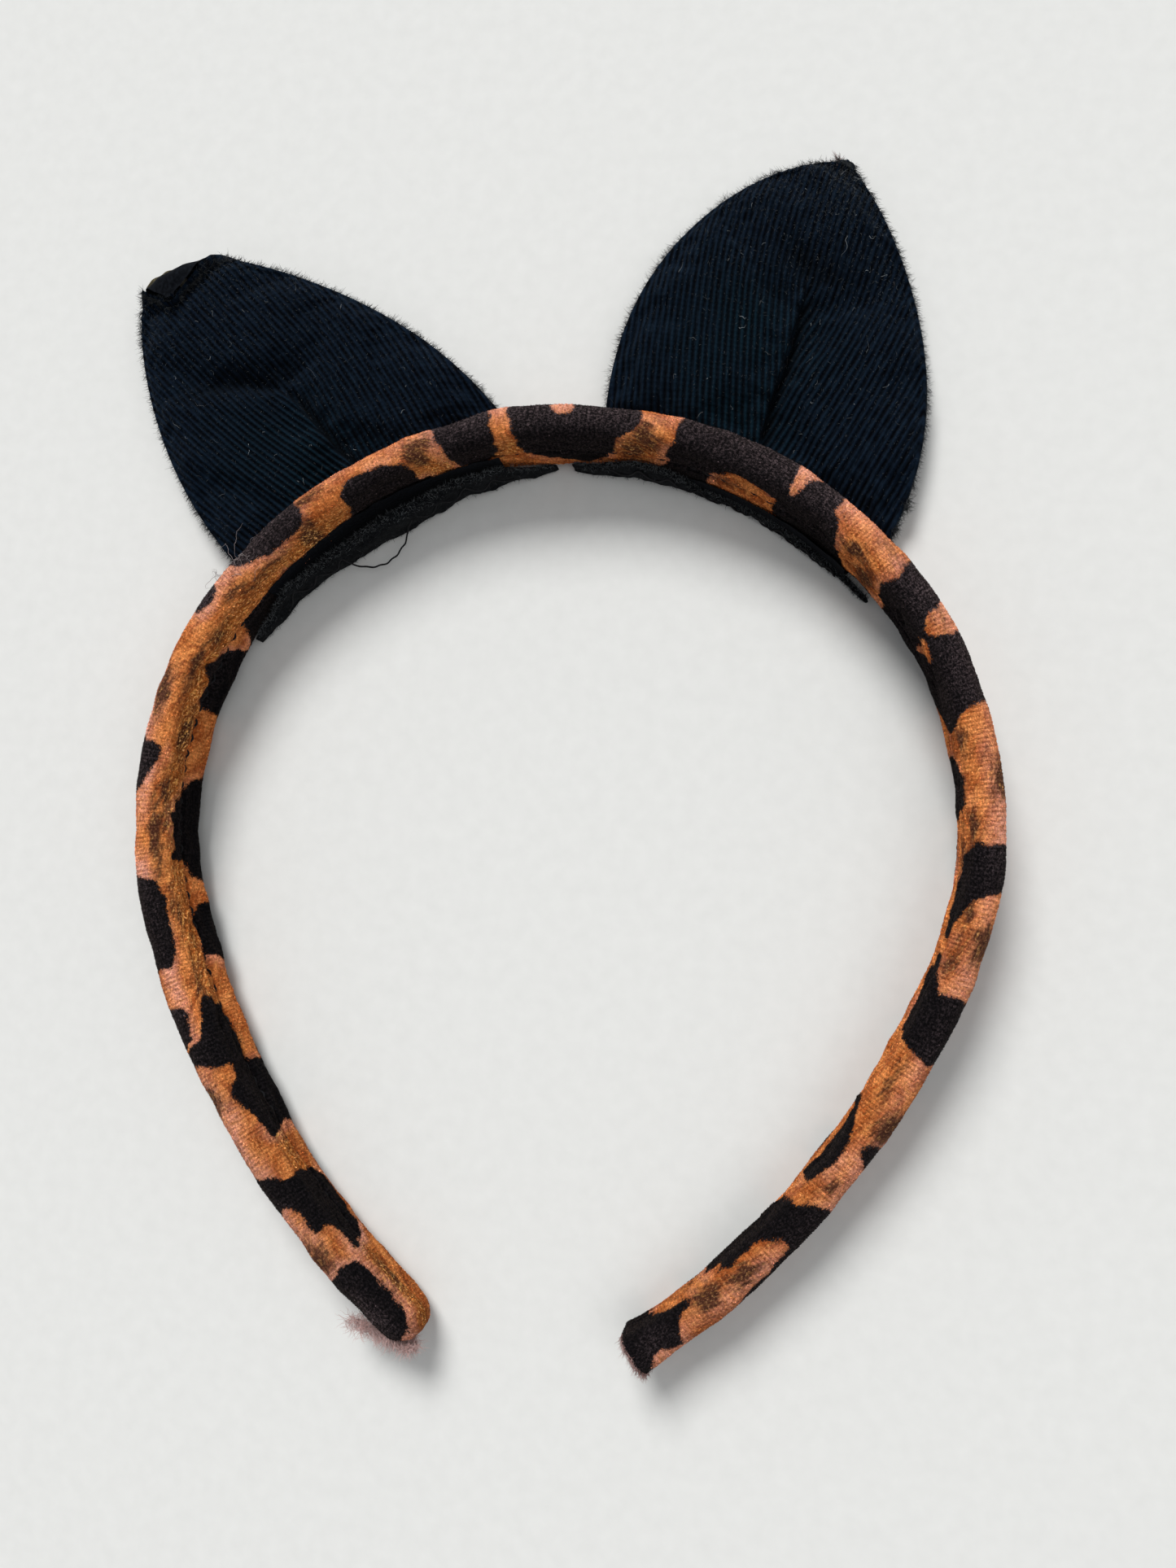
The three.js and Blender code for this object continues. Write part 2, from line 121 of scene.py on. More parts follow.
RIB_PITCH, COURSE_PITCH = 0.95, 0.7  # of the ears' knit
WEDGE = {"left": math.radians(26), "right": math.radians(30)}  # the cloth that each dart takes in
DART_TOP = {"left": 20.0, "right": 27.0}
DART_ACROSS = 0.25
EDGE_THICKNESS = 1.3
FULL_THICKNESS = EAR_STACK + 0.2
ROLL_TURN = 0.8 * math.pi  # how far the front cloth's edge rolls under
CURL = {"from": 43.0, "radius": 1.5, "slant": math.radians(5.5)}  # where and how the left tip curls over
DRAPE = {"rows": 34, "columns": 36, "frames": 26, "scale": 0.01, "slack": 0.05}
STIFFENER_INSET, EDGE_SEAM_INSET = 3.2, 1.6
RIBBONS = {
    "left": {"past": 5.5, "gape": 1.7, "bump": 0.53, "proud": 1.0, "tuck": 0.0},
    "right": {"past": 3.0, "gape": 0.0, "bump": 0.7, "proud": 0.45, "tuck": 0.78},
}
RIBBON_THICKNESS = 0.9
RIBBON_STITCH = 5.0
LOOSE_LOOP = (0.34, 0.55, 3.2)  # from and to, in shares of the ribbon, and how far it hangs out

THREAD_RADII = {"seam": 0.17, "edge": 0.18, "dart": 0.16, "ribbon": 0.15}
THREAD_SIDES = 6
FIBRE_RADII = {
    "tuft": 0.028, "wisp": 0.03, "nap": 0.028, "lint": 0.035, "fray": 0.04, "hair": 0.035, "ribbon": 0.032,
}
TUFTS = {  # station and girth ranges of the roots, length, number, tone, blush
    "left": ((-186.2, -183.0), (3.0, 10.0), 3.0, 500, (0.9, 1.15), (0.35, 0.65)),
    "right": ((183.9, 184.5), (-5.0, 11.0), 1.5, 700, (0.25, 0.75), (0.5, 0.9)),
}
WISP = {
    "stations": (-177.5, -187.2), "away": (3.4, -0.6), "heights": (4.6, 7.0), "spread": 0.45, "number": 1500,
}
STRAY_HAIRS = {"stations": (-60.0, -52.0), "girths": (-0.5, 5.0), "length": 9.0, "number": 16}
EAR_FUZZ = {"edge": 3400, "face": 5200, "lint": 46}
RIBBON_FUZZ = 2600
FRAYS = {  # side, share up the ear, share across, length, number, tone, blush
    "ear_right_fray_low": ("right", 0.1, 1.0, 2.6, 110, 0.06, 0.0),
    "ear_right_fray_lower": ("right", 0.045, 1.0, 2.2, 90, 0.04, 0.0),
    "ear_right_fray_tip": ("right", 0.985, -1.0, 2.8, 60, 0.35, 0.7),
    "ear_left_fray_tip": ("left", 0.8, 1.0, 1.6, 80, 0.1, 0.1),
}

LIGHTS = {  # where from, spread in degrees, strength
    "key": ((-0.5, 1.5, 1.55), 26.0, 3.7),
    "fill": ((1.0, -0.4, 1.8), 45.0, 0.7),
}

# ---- The camera ----

CAMERA_FROM_CROWN = (36.6, -68.6, 178.0)
CAMERA_TURNS = {"Z": 2.3, "X": 5.5, "Y": 10.0}
LENS = 27.07


def make_camera():
    """A phone's wide lens close above the table, a little to the right of the middle and tilted a little."""
    data = bpy.data.cameras.new("camera")
    data.sensor_fit = "VERTICAL"
    data.sensor_height = 36.0
    data.lens = LENS
    data.clip_start = 0.005
    data.clip_end = 20.0
    camera = bpy.data.objects.new("camera", data)
    turn = Matrix.Identity(4)
    for axis in ("Z", "X", "Y"):
        turn = turn @ Matrix.Rotation(math.radians(CAMERA_TURNS[axis]), 4, axis)
    place = (ORIGIN + np.array(CAMERA_FROM_CROWN)) * MM
    camera.matrix_world = Matrix.Translation(Vector(place)) @ turn
    bpy.context.scene.collection.objects.link(camera)
    bpy.context.scene.camera = camera


make_camera()


# ---- Numbers ----


def smooth(x, low, high):
    """0 below low, 1 above high, and smooth between."""
    t = np.clip((np.asarray(x, float) - low) / (high - low), 0, 1)
    return t * t * (3 - 2 * t)


def lerp(a, b, t):
    return a + (b - a) * t


def hump(x, middle, width):
    """1 at the middle, and falling off smoothly to both sides."""
    return np.exp(-((x - middle) / width) ** 2)


def unit(vectors):
    """The vectors, each at length 1."""
    return vectors / (np.linalg.norm(vectors, axis=-1, keepdims=True) + 1e-9)


def grid(rows, columns):
    """Two arrays over a grid: the values of rows down it and of columns across it."""
    return np.meshgrid(rows, columns, indexing="ij")


def flat_places(across, along):
    """A flat place for each point, as the materials read it."""
    return np.stack([np.ravel(across), np.ravel(along), np.zeros(np.size(across))], -1)


def seed_for(side, first):
    """The left's seed, or the next one for the right."""
    return first + (side == "right")


def facing(heading):
    """The directions to the right along the band and outward from it, where it has this heading."""
    sine, cosine = np.sin(heading), np.cos(heading)
    return np.stack([cosine, -sine, 0 * sine], -1), np.stack([sine, cosine, 0 * sine], -1)


class Noise:
    """Smooth seeded noise over a plane, from -1 to 1, that repeats after 64 cells."""

    CELLS = 64

    def __init__(self, seed):
        self.table = np.random.default_rng(seed).uniform(-1, 1, (self.CELLS, self.CELLS))

    def __call__(self, x, y):
        x, y = np.broadcast_arrays(np.asarray(x, float), np.asarray(y, float))
        i, j = np.floor(x).astype(int), np.floor(y).astype(int)
        fx, fy = x - i, y - j
        fx, fy = fx * fx * (3 - 2 * fx), fy * fy * (3 - 2 * fy)

        def at(di, dj):
            return self.table[(i + di) % self.CELLS, (j + dj) % self.CELLS]

        return lerp(lerp(at(0, 0), at(1, 0), fx), lerp(at(0, 1), at(1, 1), fx), fy)


# ---- The band's path and section ----


def band_frame(station):
    """x, y and heading of the centreline at each station."""
    station = np.asarray(station, float)
    side = np.where(station < 0, -1.0, 1.0)
    ahead = np.abs(station)
    x, y, heading = (np.zeros_like(ahead) for _ in range(3))
    for i, (radius, angle) in enumerate(zip(ARC_RADII, ARC_ANGLES)):
        turn = ahead / radius if i == len(ARC_RADII) - 1 else np.minimum(ahead / radius, angle)
        turn = np.maximum(turn, 0)
        x = x + radius * (np.sin(heading + turn) - np.sin(heading))
        y = y + radius * (np.cos(heading + turn) - np.cos(heading))
        heading = heading + turn
        ahead = ahead - turn * radius
    return side * x, y, side * heading


def band_point(station, offset, z):
    x, y, heading = band_frame(station)
    station, offset, z = np.broadcast_arrays(np.asarray(station, float), offset, z)
    return np.stack([x + offset * np.sin(heading), y + offset * np.cos(heading), z], -1)


def station_at(heading):
    left, station = abs(heading), 0.0
    for radius, angle in zip(ARC_RADII, ARC_ANGLES):
        turn = min(left, angle)
        station += turn * radius
        left -= turn
    return math.copysign(station, heading)


FLEX_STATION = station_at(FLEX_HEADING)


def arm_share(station):
    return np.clip((np.abs(station) - FLEX_STATION) / (HALF_LENGTH - FLEX_STATION), 0, 1)


def sleeve_height(station):
    return lerp(STRIP_HEIGHTS[0], STRIP_HEIGHTS[1], arm_share(station)) + 2 * CLOTH_AND_FIT


def middle_height(station):
    return CROWN_BOTTOM * (1 - arm_share(station)) + sleeve_height(station) / 2


def section(girth, half_thickness, height, corner=CORNER):
    """Offset, height and the outward direction at each girth of a rounded section of the sleeve."""
    side = np.where(girth < 0, -1.0, 1.0)
    t = np.abs(girth)
    edge, wall = half_thickness - corner, height / 2 - corner
    ends = np.cumsum([FLAT_END, QUARTER, FLAT_FACE, QUARTER])
    turn1 = np.clip((t - ends[0]) / QUARTER, 0, 1) * math.pi / 2
    turn2 = np.clip((t - ends[2]) / QUARTER, 0, 1) * math.pi / 2
    down = np.clip((t - ends[1]) / FLAT_FACE, 0, 1)
    out = np.clip(t / FLAT_END, 0, 1) - np.clip((t - ends[3]) / FLAT_END, 0, 1)
    turn = turn1 + turn2
    offset = edge * out + corner * np.sin(turn)
    z = wall * (1 - 2 * down) + corner * np.cos(turn)
    return side * offset, z, side * np.sin(turn), np.cos(turn)


# ---- Meshes ----


def wander(rng, roots, aim, length, steps, curl):
    """Wandering paths of fibres: a row of points for each root."""
    aim = unit(aim)
    path = [roots]
    for _ in range(steps):
        aim = unit(aim + curl * rng.normal(0, 1, aim.shape))
        path.append(path[-1] + aim * length / steps)
    paths = np.stack(path, 1)
    paths[..., 2] = np.maximum(paths[..., 2], 0.08)
    return paths


def strands(name, paths, radius, tone, blush):
    """Many thin closed fibres as one mesh, with a tone and a blush for each."""
    count, steps = paths.shape[:2]
    along = unit(np.gradient(paths, axis=1))
    side = unit(np.cross(along, np.array([0.3, 0.5, 0.81])))
    up = np.cross(side, along)
    taper = radius * (1 - 0.8 * np.linspace(0, 1, steps) ** 2)[None, :, None, None]
    angle = np.array(THIRDS)[None, None, :, None]
    ring = np.cos(angle) * side[:, :, None, :] + np.sin(angle) * up[:, :, None, :]
    quads, _ = grid_faces(steps, 3, wrap=True)
    starts = (np.arange(count) * steps * 3)[:, None]
    quads = (quads[None] + starts[:, :, None]).reshape(-1, 4)
    caps = [starts + np.arange(3), starts + (steps - 1) * 3 + np.array([2, 1, 0])]
    fields = {"tone": np.repeat(tone, steps * 3), "blush": np.repeat(blush, steps * 3)}
    return make_piece(name, paths[:, :, None, :] + taper * ring, [quads[:, ::-1], *caps], fuzz, None, fields)


def grid_faces(rows, columns, wrap=False, start=0):
    """The quads of a grid of points, row by row, and each corner's place over rows and columns."""
    across = columns if wrap else columns - 1
    i, j = (a.ravel() for a in grid(np.arange(rows - 1), np.arange(across)))
    nxt = (j + 1) % columns
    quads = np.stack([i * columns + j, i * columns + nxt, (i + 1) * columns + nxt, (i + 1) * columns + j], -1)
    down, over = np.stack([i, i, i + 1, i + 1], -1), np.stack([j, j + 1, j + 1, j], -1)
    return quads + start, np.stack([down / (rows - 1), over / across], -1)


def tube_faces(rows, columns):
    """The faces of a row of rings with both ends closed, and each corner's place."""
    quads, places = grid_faces(rows, columns, wrap=True)
    first, last = np.arange(columns)[None, ::-1], ((rows - 1) * columns + np.arange(columns))[None, :]
    return [quads, first, last], [places, np.zeros((1, columns, 2)), np.ones((1, columns, 2))]


def make_piece(name, points, faces, material, places=None, attributes=None, flip=False):
    """A mesh object from points in the band's frame. places are its corners on a flat image map."""
    if flip:
        faces = [f[::-1] for f in faces]
        places = None if places is None else [p[::-1] for p in places]
    mesh = bpy.data.meshes.new(name)
    points = (np.asarray(points, float).reshape(-1, 3) + ORIGIN) * MM
    counts = np.concatenate([np.full(len(f), f.shape[1]) for f in faces])
    loops = np.concatenate([f.ravel() for f in faces])
    mesh.vertices.add(len(points))
    mesh.vertices.foreach_set("co", points.astype(np.float32).ravel())
    mesh.loops.add(len(loops))
    mesh.loops.foreach_set("vertex_index", loops.astype(np.int32))
    mesh.polygons.add(len(counts))
    starts = np.concatenate([[0], np.cumsum(counts)[:-1]])
    mesh.polygons.foreach_set("loop_start", starts.astype(np.int32))
    mesh.polygons.foreach_set("use_smooth", np.ones(len(counts), bool))
    if places is not None:
        layer = mesh.uv_layers.new(name="OFBake")
        flat = np.concatenate([p.reshape(-1, 2) for p in places])
        layer.data.foreach_set("uv", flat.astype(np.float32).ravel())
    for key, values in (attributes or {}).items():
        values = np.asarray(values, np.float32)
        kind, field = ("FLOAT_VECTOR", "vector") if values.ndim == 2 else ("FLOAT", "value")
        mesh.attributes.new(key, kind, "POINT").data.foreach_set(field, values.ravel())
    mesh.update(calc_edges=True)
    mesh.validate()
    mesh.materials.append(material)
    piece = bpy.data.objects.new(name, mesh)
    bpy.context.scene.collection.objects.link(piece)
    return piece


def sewn(name, path, radius):
    """A thread: a round closed tube through the points of path."""
    along = unit(np.gradient(path, axis=0))
    up = np.zeros_like(path)
    guide = np.array([0.0, 0.0, 1.0])
    for i, direction in enumerate(along):
        guide = unit(guide - direction * (guide @ direction))
        up[i] = guide
    side = np.cross(along, up)
    run = np.concatenate([[0], np.cumsum(np.linalg.norm(np.diff(path, axis=0), axis=1))])
    to_end = np.minimum(run, run[-1] - run)
    radii = radius * np.sqrt(np.clip(1 - (1 - to_end / radius).clip(0) ** 2, 0.05, 1))
    angle = np.arange(THREAD_SIDES) / THREAD_SIDES * 2 * math.pi
    c, s = np.cos(angle)[None, :, None], np.sin(angle)[None, :, None]
    rings = path[:, None, :] + radii[:, None, None] * (c * side[:, None, :] + s * up[:, None, :])
    faces, places = tube_faces(len(path), THREAD_SIDES)
    cloth = flat_places(np.repeat(run, THREAD_SIDES), np.tile(angle, len(path)))
    return make_piece(name, rings, faces, thread, places, {"cloth": cloth}, flip=True)


# ---- Materials ----


def srgb(r, g, b):
    """A colour given as on a screen, 0 to 255, as the linear values that a shader takes."""
    def linear(v):
        v /= 255
        return v / 12.92 if v <= 0.04045 else ((v + 0.055) / 1.055) ** 2.4
    return (linear(r), linear(g), linear(b), 1.0)


class Shade:
    """A node material with one Principled shader, and short ways to add what feeds it."""

    def __init__(
        self, name, roughness, sheen=0.0, sheen_roughness=0.4, sheen_tint=(1, 1, 1, 1), specular=0.3,
    ):
        self.material = bpy.data.materials.new(name)
        self.material.use_nodes = True
        self.tree = self.material.node_tree
        self.shader = self.tree.nodes["Principled BSDF"]
        self.shader.inputs["Roughness"].default_value = roughness
        self.shader.inputs["Specular IOR Level"].default_value = specular
        self.shader.inputs["Sheen Weight"].default_value = sheen
        self.shader.inputs["Sheen Roughness"].default_value = sheen_roughness
        self.shader.inputs["Sheen Tint"].default_value = sheen_tint

    def node(self, kind, inputs, **settings):
        made = self.tree.nodes.new(kind)
        for key, value in settings.items():
            setattr(made, key, value)
        for key, value in inputs.items():
            self.feed(made.inputs[key], value)
        return made

    def feed(self, socket, value):
        if isinstance(value, bpy.types.NodeSocket):
            self.tree.links.new(value, socket)
        else:
            socket.default_value = value

    def attribute(self, name, output="Fac"):
        return self.node("ShaderNodeAttribute", {}, attribute_name=name).outputs[output]

    def math(self, operation, a, b=0.0, c=0.0):
        return self.node("ShaderNodeMath", {0: a, 1: b, 2: c}, operation=operation).outputs[0]

    def times(self, a, b):
        return self.math("MULTIPLY", a, b)

    def times_plus(self, a, b, c):
        return self.math("MULTIPLY_ADD", a, b, c)

    def scaled(self, vector, scale):
        return self.node("ShaderNodeVectorMath", {0: vector, 1: scale}, operation="MULTIPLY").outputs[0]

    def noise(self, vector, scale, detail=2.0, roughness=0.5, distortion=0.0):
        inputs = {"Vector": vector, "Scale": scale, "Detail": detail}
        inputs |= {"Roughness": roughness, "Distortion": distortion}
        return self.node("ShaderNodeTexNoise", inputs).outputs["Fac"]

    def ramp(self, value, low, high, to_low=0.0, to_high=1.0):
        inputs = {"Value": value, "From Min": low, "From Max": high, "To Min": to_low, "To Max": to_high}
        return self.node("ShaderNodeMapRange", inputs, interpolation_type="SMOOTHSTEP").outputs["Result"]

    def mix(self, share, a, b, blend_type="MIX"):
        made = self.tree.nodes.new("ShaderNodeMix")
        made.data_type = "RGBA"
        made.blend_type = blend_type
        for socket, value in ((made.inputs[0], share), (made.inputs[6], a), (made.inputs[7], b)):
            self.feed(socket, value)
        return made.outputs[2]

    def finish(self, color, bump=None, distance=0.1, strength=1.0, roughness=None):
        self.feed(self.shader.inputs["Base Color"], color)
        if roughness is not None:
            self.feed(self.shader.inputs["Roughness"], roughness)
        if bump is not None:
            inputs = {"Strength": strength, "Distance": distance * MM, "Height": bump}
            self.feed(self.shader.inputs["Normal"], self.node("ShaderNodeBump", inputs).outputs[0])
        return self.material


def velvet_material():
    """Short-pile velvet.

    black is the distance into a black patch, and brown is a share of the print's brown.
    pink_rim_and_sheen is a share of pink: the print's rims round black patches, and painted sheen on the
    lit outer edge. inner_shade_and_glints is a share of painted shade and painted glints on the inner face
    of the left half. dust_and_sheen is a share of grey on the black: real dust in spots, and painted sheen on
    the lit outer edge. flick is how bright the pile is, with painted glints in it, and darker towards the
    tips.
    """
    s = Shade("velvet", 0.9, sheen=0.03, sheen_roughness=0.3, sheen_tint=srgb(255, 215, 190), specular=0.06)
    cloth = s.attribute("cloth", "Vector")
    pile = s.noise(s.scaled(cloth, (1.0, 1.5, 1.0)), 2.2, 3.0, 0.65)
    fine = s.noise(cloth, 6.0, 2.0, 0.6)
    nap = s.noise(s.scaled(cloth, (1.5, 0.4, 1.0)), 1.5, 3.0, 0.65)
    turned = {"Vector": cloth, "Angle": 0.35}
    slanted = s.node("ShaderNodeVectorRotate", turned, rotation_type="Z_AXIS").outputs[0]
    streak = s.noise(s.scaled(slanted, (0.3, 1.5, 1.0)), 1.1, 4.0, 0.65)
    mottle = s.noise(s.scaled(slanted, (0.7, 1.1, 1.0)), 0.32, 4.0, 0.62, 0.8)
    inner_shade_and_glints = s.attribute("inner_shade_and_glints")
    orange = s.mix(s.ramp(mottle, 0.36, 0.6), srgb(226, 140, 76), srgb(178, 92, 42))
    # A darker gold on the inner face is painted shade.
    orange = s.mix(s.times(inner_shade_and_glints, s.ramp(streak, 0.3, 0.55, 0.4, 0.95)), orange, srgb(190, 108, 44))
    # Pink: painted sheen on the lit outer edge, and the print's rims round black patches.
    pink_rim_and_sheen = s.times(s.attribute("pink_rim_and_sheen"), s.ramp(nap, 0.3, 0.6, 0.45, 1.0))
    orange = s.mix(pink_rim_and_sheen, orange, srgb(228, 158, 134))
    stain = s.times_plus(s.attribute("brown"), 1.1, s.times_plus(streak, 1.5, -0.75))
    stain = s.times_plus(mottle, 1.3, s.math("SUBTRACT", stain, 0.65))
    stain = s.times_plus(nap, 0.7, s.math("SUBTRACT", stain, 0.35))
    orange = s.mix(s.ramp(stain, 0.02, 0.8, 0.0, 0.94), orange, srgb(70, 42, 32))
    glint = s.times(s.ramp(pile, 0.54, 0.64), s.times_plus(inner_shade_and_glints, 0.85, 0.2))
    orange = s.mix(s.times(glint, s.ramp(streak, 0.4, 0.55, 0.25, 1.0)), orange, srgb(255, 196, 126))
    # Streaks of painted highlight and painted shade, strongest on the inner face. The same noise gives a
    # bump.
    relief_and_glint_noise = s.noise(s.scaled(slanted, (0.55, 1.5, 1.0)), 1.5, 2.0, 0.6)
    relief_and_glint_share = s.times_plus(inner_shade_and_glints, 0.8, 0.2)
    orange = s.mix(s.times(s.ramp(relief_and_glint_noise, 0.5, 0.36), s.times(relief_and_glint_share, 0.75)), orange, srgb(104, 58, 26))
    orange = s.mix(s.times(s.ramp(relief_and_glint_noise, 0.53, 0.66), s.times(relief_and_glint_share, 0.85)), orange, srgb(248, 180, 98))
    grain = s.times_plus(fine, 0.6, s.times_plus(nap, 0.5, s.math("SUBTRACT", pile, 0.55)))
    along = s.node("ShaderNodeSeparateXYZ", {0: cloth}).outputs[0]
    ribs = s.math("SINE", s.times(along, 2 * math.pi / VELVET_RIB_PITCH))
    shade = s.times(s.ramp(grain, 0.22, 0.82, 0.5, 1.4), s.attribute("flick"))
    # The ribs' light and dark stripes are painted light and shade.
    shade = s.times(shade, s.times_plus(ribs, 0.06, 1.0))
    grey = s.node("ShaderNodeCombineColor", {0: shade, 1: shade, 2: shade}).outputs[0]
    orange = s.mix(1.0, orange, grey, "MULTIPLY")
    black = s.mix(s.ramp(pile, 0.4, 0.8), srgb(2, 2, 3), srgb(17, 15, 18))
    # Grey on the black: painted sheen on the lit outer edge, and real dust in spots.
    dust_and_sheen = s.times(s.attribute("dust_and_sheen"), s.ramp(grain, 0.4, 0.8, 0.04, 0.85))
    dust_and_sheen = s.times(dust_and_sheen, s.math("POWER", s.attribute("flick"), 2.0))
    black = s.mix(dust_and_sheen, black, srgb(112, 96, 98))
    fringe = s.times_plus(pile, 1.8, s.times_plus(fine, 0.9, -1.35))
    edge = s.math("ADD", s.attribute("black"), fringe)
    color = s.mix(s.ramp(edge, -0.16, 0.16), orange, black)
    bump = s.times_plus(pile, 1.2, s.times(fine, 0.5))
    bump = s.times_plus(relief_and_glint_noise, s.times(relief_and_glint_share, 1.6), bump)
    bump = s.times_plus(nap, 0.8, s.times_plus(ribs, 0.16, bump))
    return s.finish(color, bump, 0.3, 1.0)


def knit_material():
    """Fine blue-black rib knit. knit is the place across and along the ribs, in millimetres.

    painted_sheen is a share of a brighter teal, painted sheen on the cloth left of the dart, and
    crease_shade is painted shade in the dart's crease, its hollows and between its rays.
    """
    tint = srgb(150, 190, 235)
    s = Shade("rib_knit", 0.95, sheen=0.015, sheen_roughness=0.4, sheen_tint=tint, specular=0.05)
    knit = s.attribute("knit", "Vector")
    split = s.node("ShaderNodeSeparateXYZ", {0: knit})
    stray = s.noise(s.scaled(knit, (0.6, 0.25, 1.0)), 1.0, 2.0)
    across = s.times_plus(stray, 0.35, split.outputs[0])
    wave = s.math("SINE", s.times(across, 2 * math.pi / RIB_PITCH))
    loops = s.math("SINE", s.times(split.outputs[1], 2 * math.pi / COURSE_PITCH))
    # A broad noise that makes the painted sheen patchy.
    dust_and_sheen = s.noise(knit, 0.12, 3.0, 0.6)
    fine = s.noise(s.scaled(knit, (1.0, 0.6, 1.0)), 3.2, 3.0, 0.7)
    # The ribs' ridges are painted lighter and their grooves darker: painted highlight and painted shade.
    rib = s.mix(s.ramp(wave, -0.9, 0.9), srgb(0, 1, 4), srgb(7, 17, 29))
    lit_rib_color = s.mix(s.ramp(wave, -0.9, 0.9), srgb(0, 3, 7), srgb(6, 24, 33))
    worn = s.noise(s.scaled(knit, (1.2, 0.3, 1.0)), 1.3, 3.0, 0.6)
    rib = s.mix(s.ramp(worn, 0.4, 0.75, 0.0, 0.5), rib, srgb(20, 33, 46))
    # Painted sheen on the cloth left of the dart, made patchy by the broad noise.
    rib = s.mix(s.times(s.attribute("painted_sheen"), s.ramp(dust_and_sheen, 0.3, 0.65, 0.5, 1.0)), rib, lit_rib_color)
    rib = s.mix(s.ramp(fine, 0.55, 0.85, 0.0, 0.4), rib, srgb(34, 48, 60))
    # Painted shade in the dart's crease, its hollows and between its rays.
    rib = s.mix(s.times(s.attribute("crease_shade"), 0.85), rib, srgb(0, 1, 2))
    bump = s.times_plus(wave, 0.8, s.times(loops, 0.12))
    return s.finish(rib, s.times_plus(fine, 1.3, bump), 0.16, 1.0)


def fuzz_material():
    """Loose fibres, from near black to pale lint. tone is how pale a fibre is, and blush how pink."""
    s = Shade("fuzz", 0.9, specular=0.1)
    pale = s.mix(s.attribute("blush"), srgb(150, 156, 158), srgb(214, 158, 146))
    return s.finish(s.mix(s.attribute("tone"), srgb(9, 11, 15), pale))


def plain_cloth_material(name, dark, light, grain):
    """A dark woven or knitted cloth with fine grain, in cloth millimetres."""
    s = Shade(name, 0.95, sheen=0.02, sheen_roughness=0.4, specular=0.05)
    cloth = s.attribute("cloth", "Vector")
    fine = s.noise(cloth, grain, 3.0, 0.65)
    broad = s.noise(cloth, 0.15, 2.0, 0.5)
    color = s.mix(s.ramp(fine, 0.35, 0.75), dark, light)
    color = s.mix(s.ramp(broad, 0.4, 0.8, 0.0, 0.4), color, light)
    return s.finish(color, fine, 0.12, 0.8)


def plastic_material():
    s = Shade("strip_plastic", 0.45, specular=0.5)
    cloth = s.attribute("cloth", "Vector")
    grain = s.noise(cloth, 1.5, 3.0, 0.5)
    color = s.mix(s.ramp(grain, 0.3, 0.7), srgb(24, 24, 26), srgb(34, 34, 37))
    return s.finish(color, grain, 0.03, 0.5)


def thread_material():
    s = Shade("sewing_thread", 0.7, specular=0.2)
    cloth = s.attribute("cloth", "Vector")
    strands = s.noise(cloth, 3.0, 2.0, 0.5)
    color = s.mix(s.ramp(strands, 0.3, 0.7), srgb(6, 6, 8), srgb(22, 22, 25))
    return s.finish(color, strands, 0.05, 0.6)


velvet = velvet_material()
knit = knit_material()
fuzz = fuzz_material()
back_knit = plain_cloth_material("back_cloth", srgb(4, 5, 8), srgb(18, 21, 26), 2.0)
ribbon_cloth = plain_cloth_material("ribbon_cloth", srgb(4, 5, 7), srgb(26, 28, 30), 2.4)
mesh_lining = plain_cloth_material("mesh_lining", srgb(60, 55, 42), srgb(112, 104, 80), 2.2)
felt = plain_cloth_material("stiffener_felt", srgb(92, 88, 78), srgb(140, 134, 120), 1.2)
plastic = plastic_material()
thread = thread_material()


# ---- Baking each piece's place into its mesh ----


def bend_with_arm(piece):
    """Bakes the piece's place into its mesh."""
    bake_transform(piece)


def bend_with_ear(piece, side):
    """Bakes the piece's place into its mesh."""
    ear = EARS[side]
    foot = band_point(station_at(ear["heading"]), FACE + EAR_GAP, EAR_STACK / 2)
    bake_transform(piece)
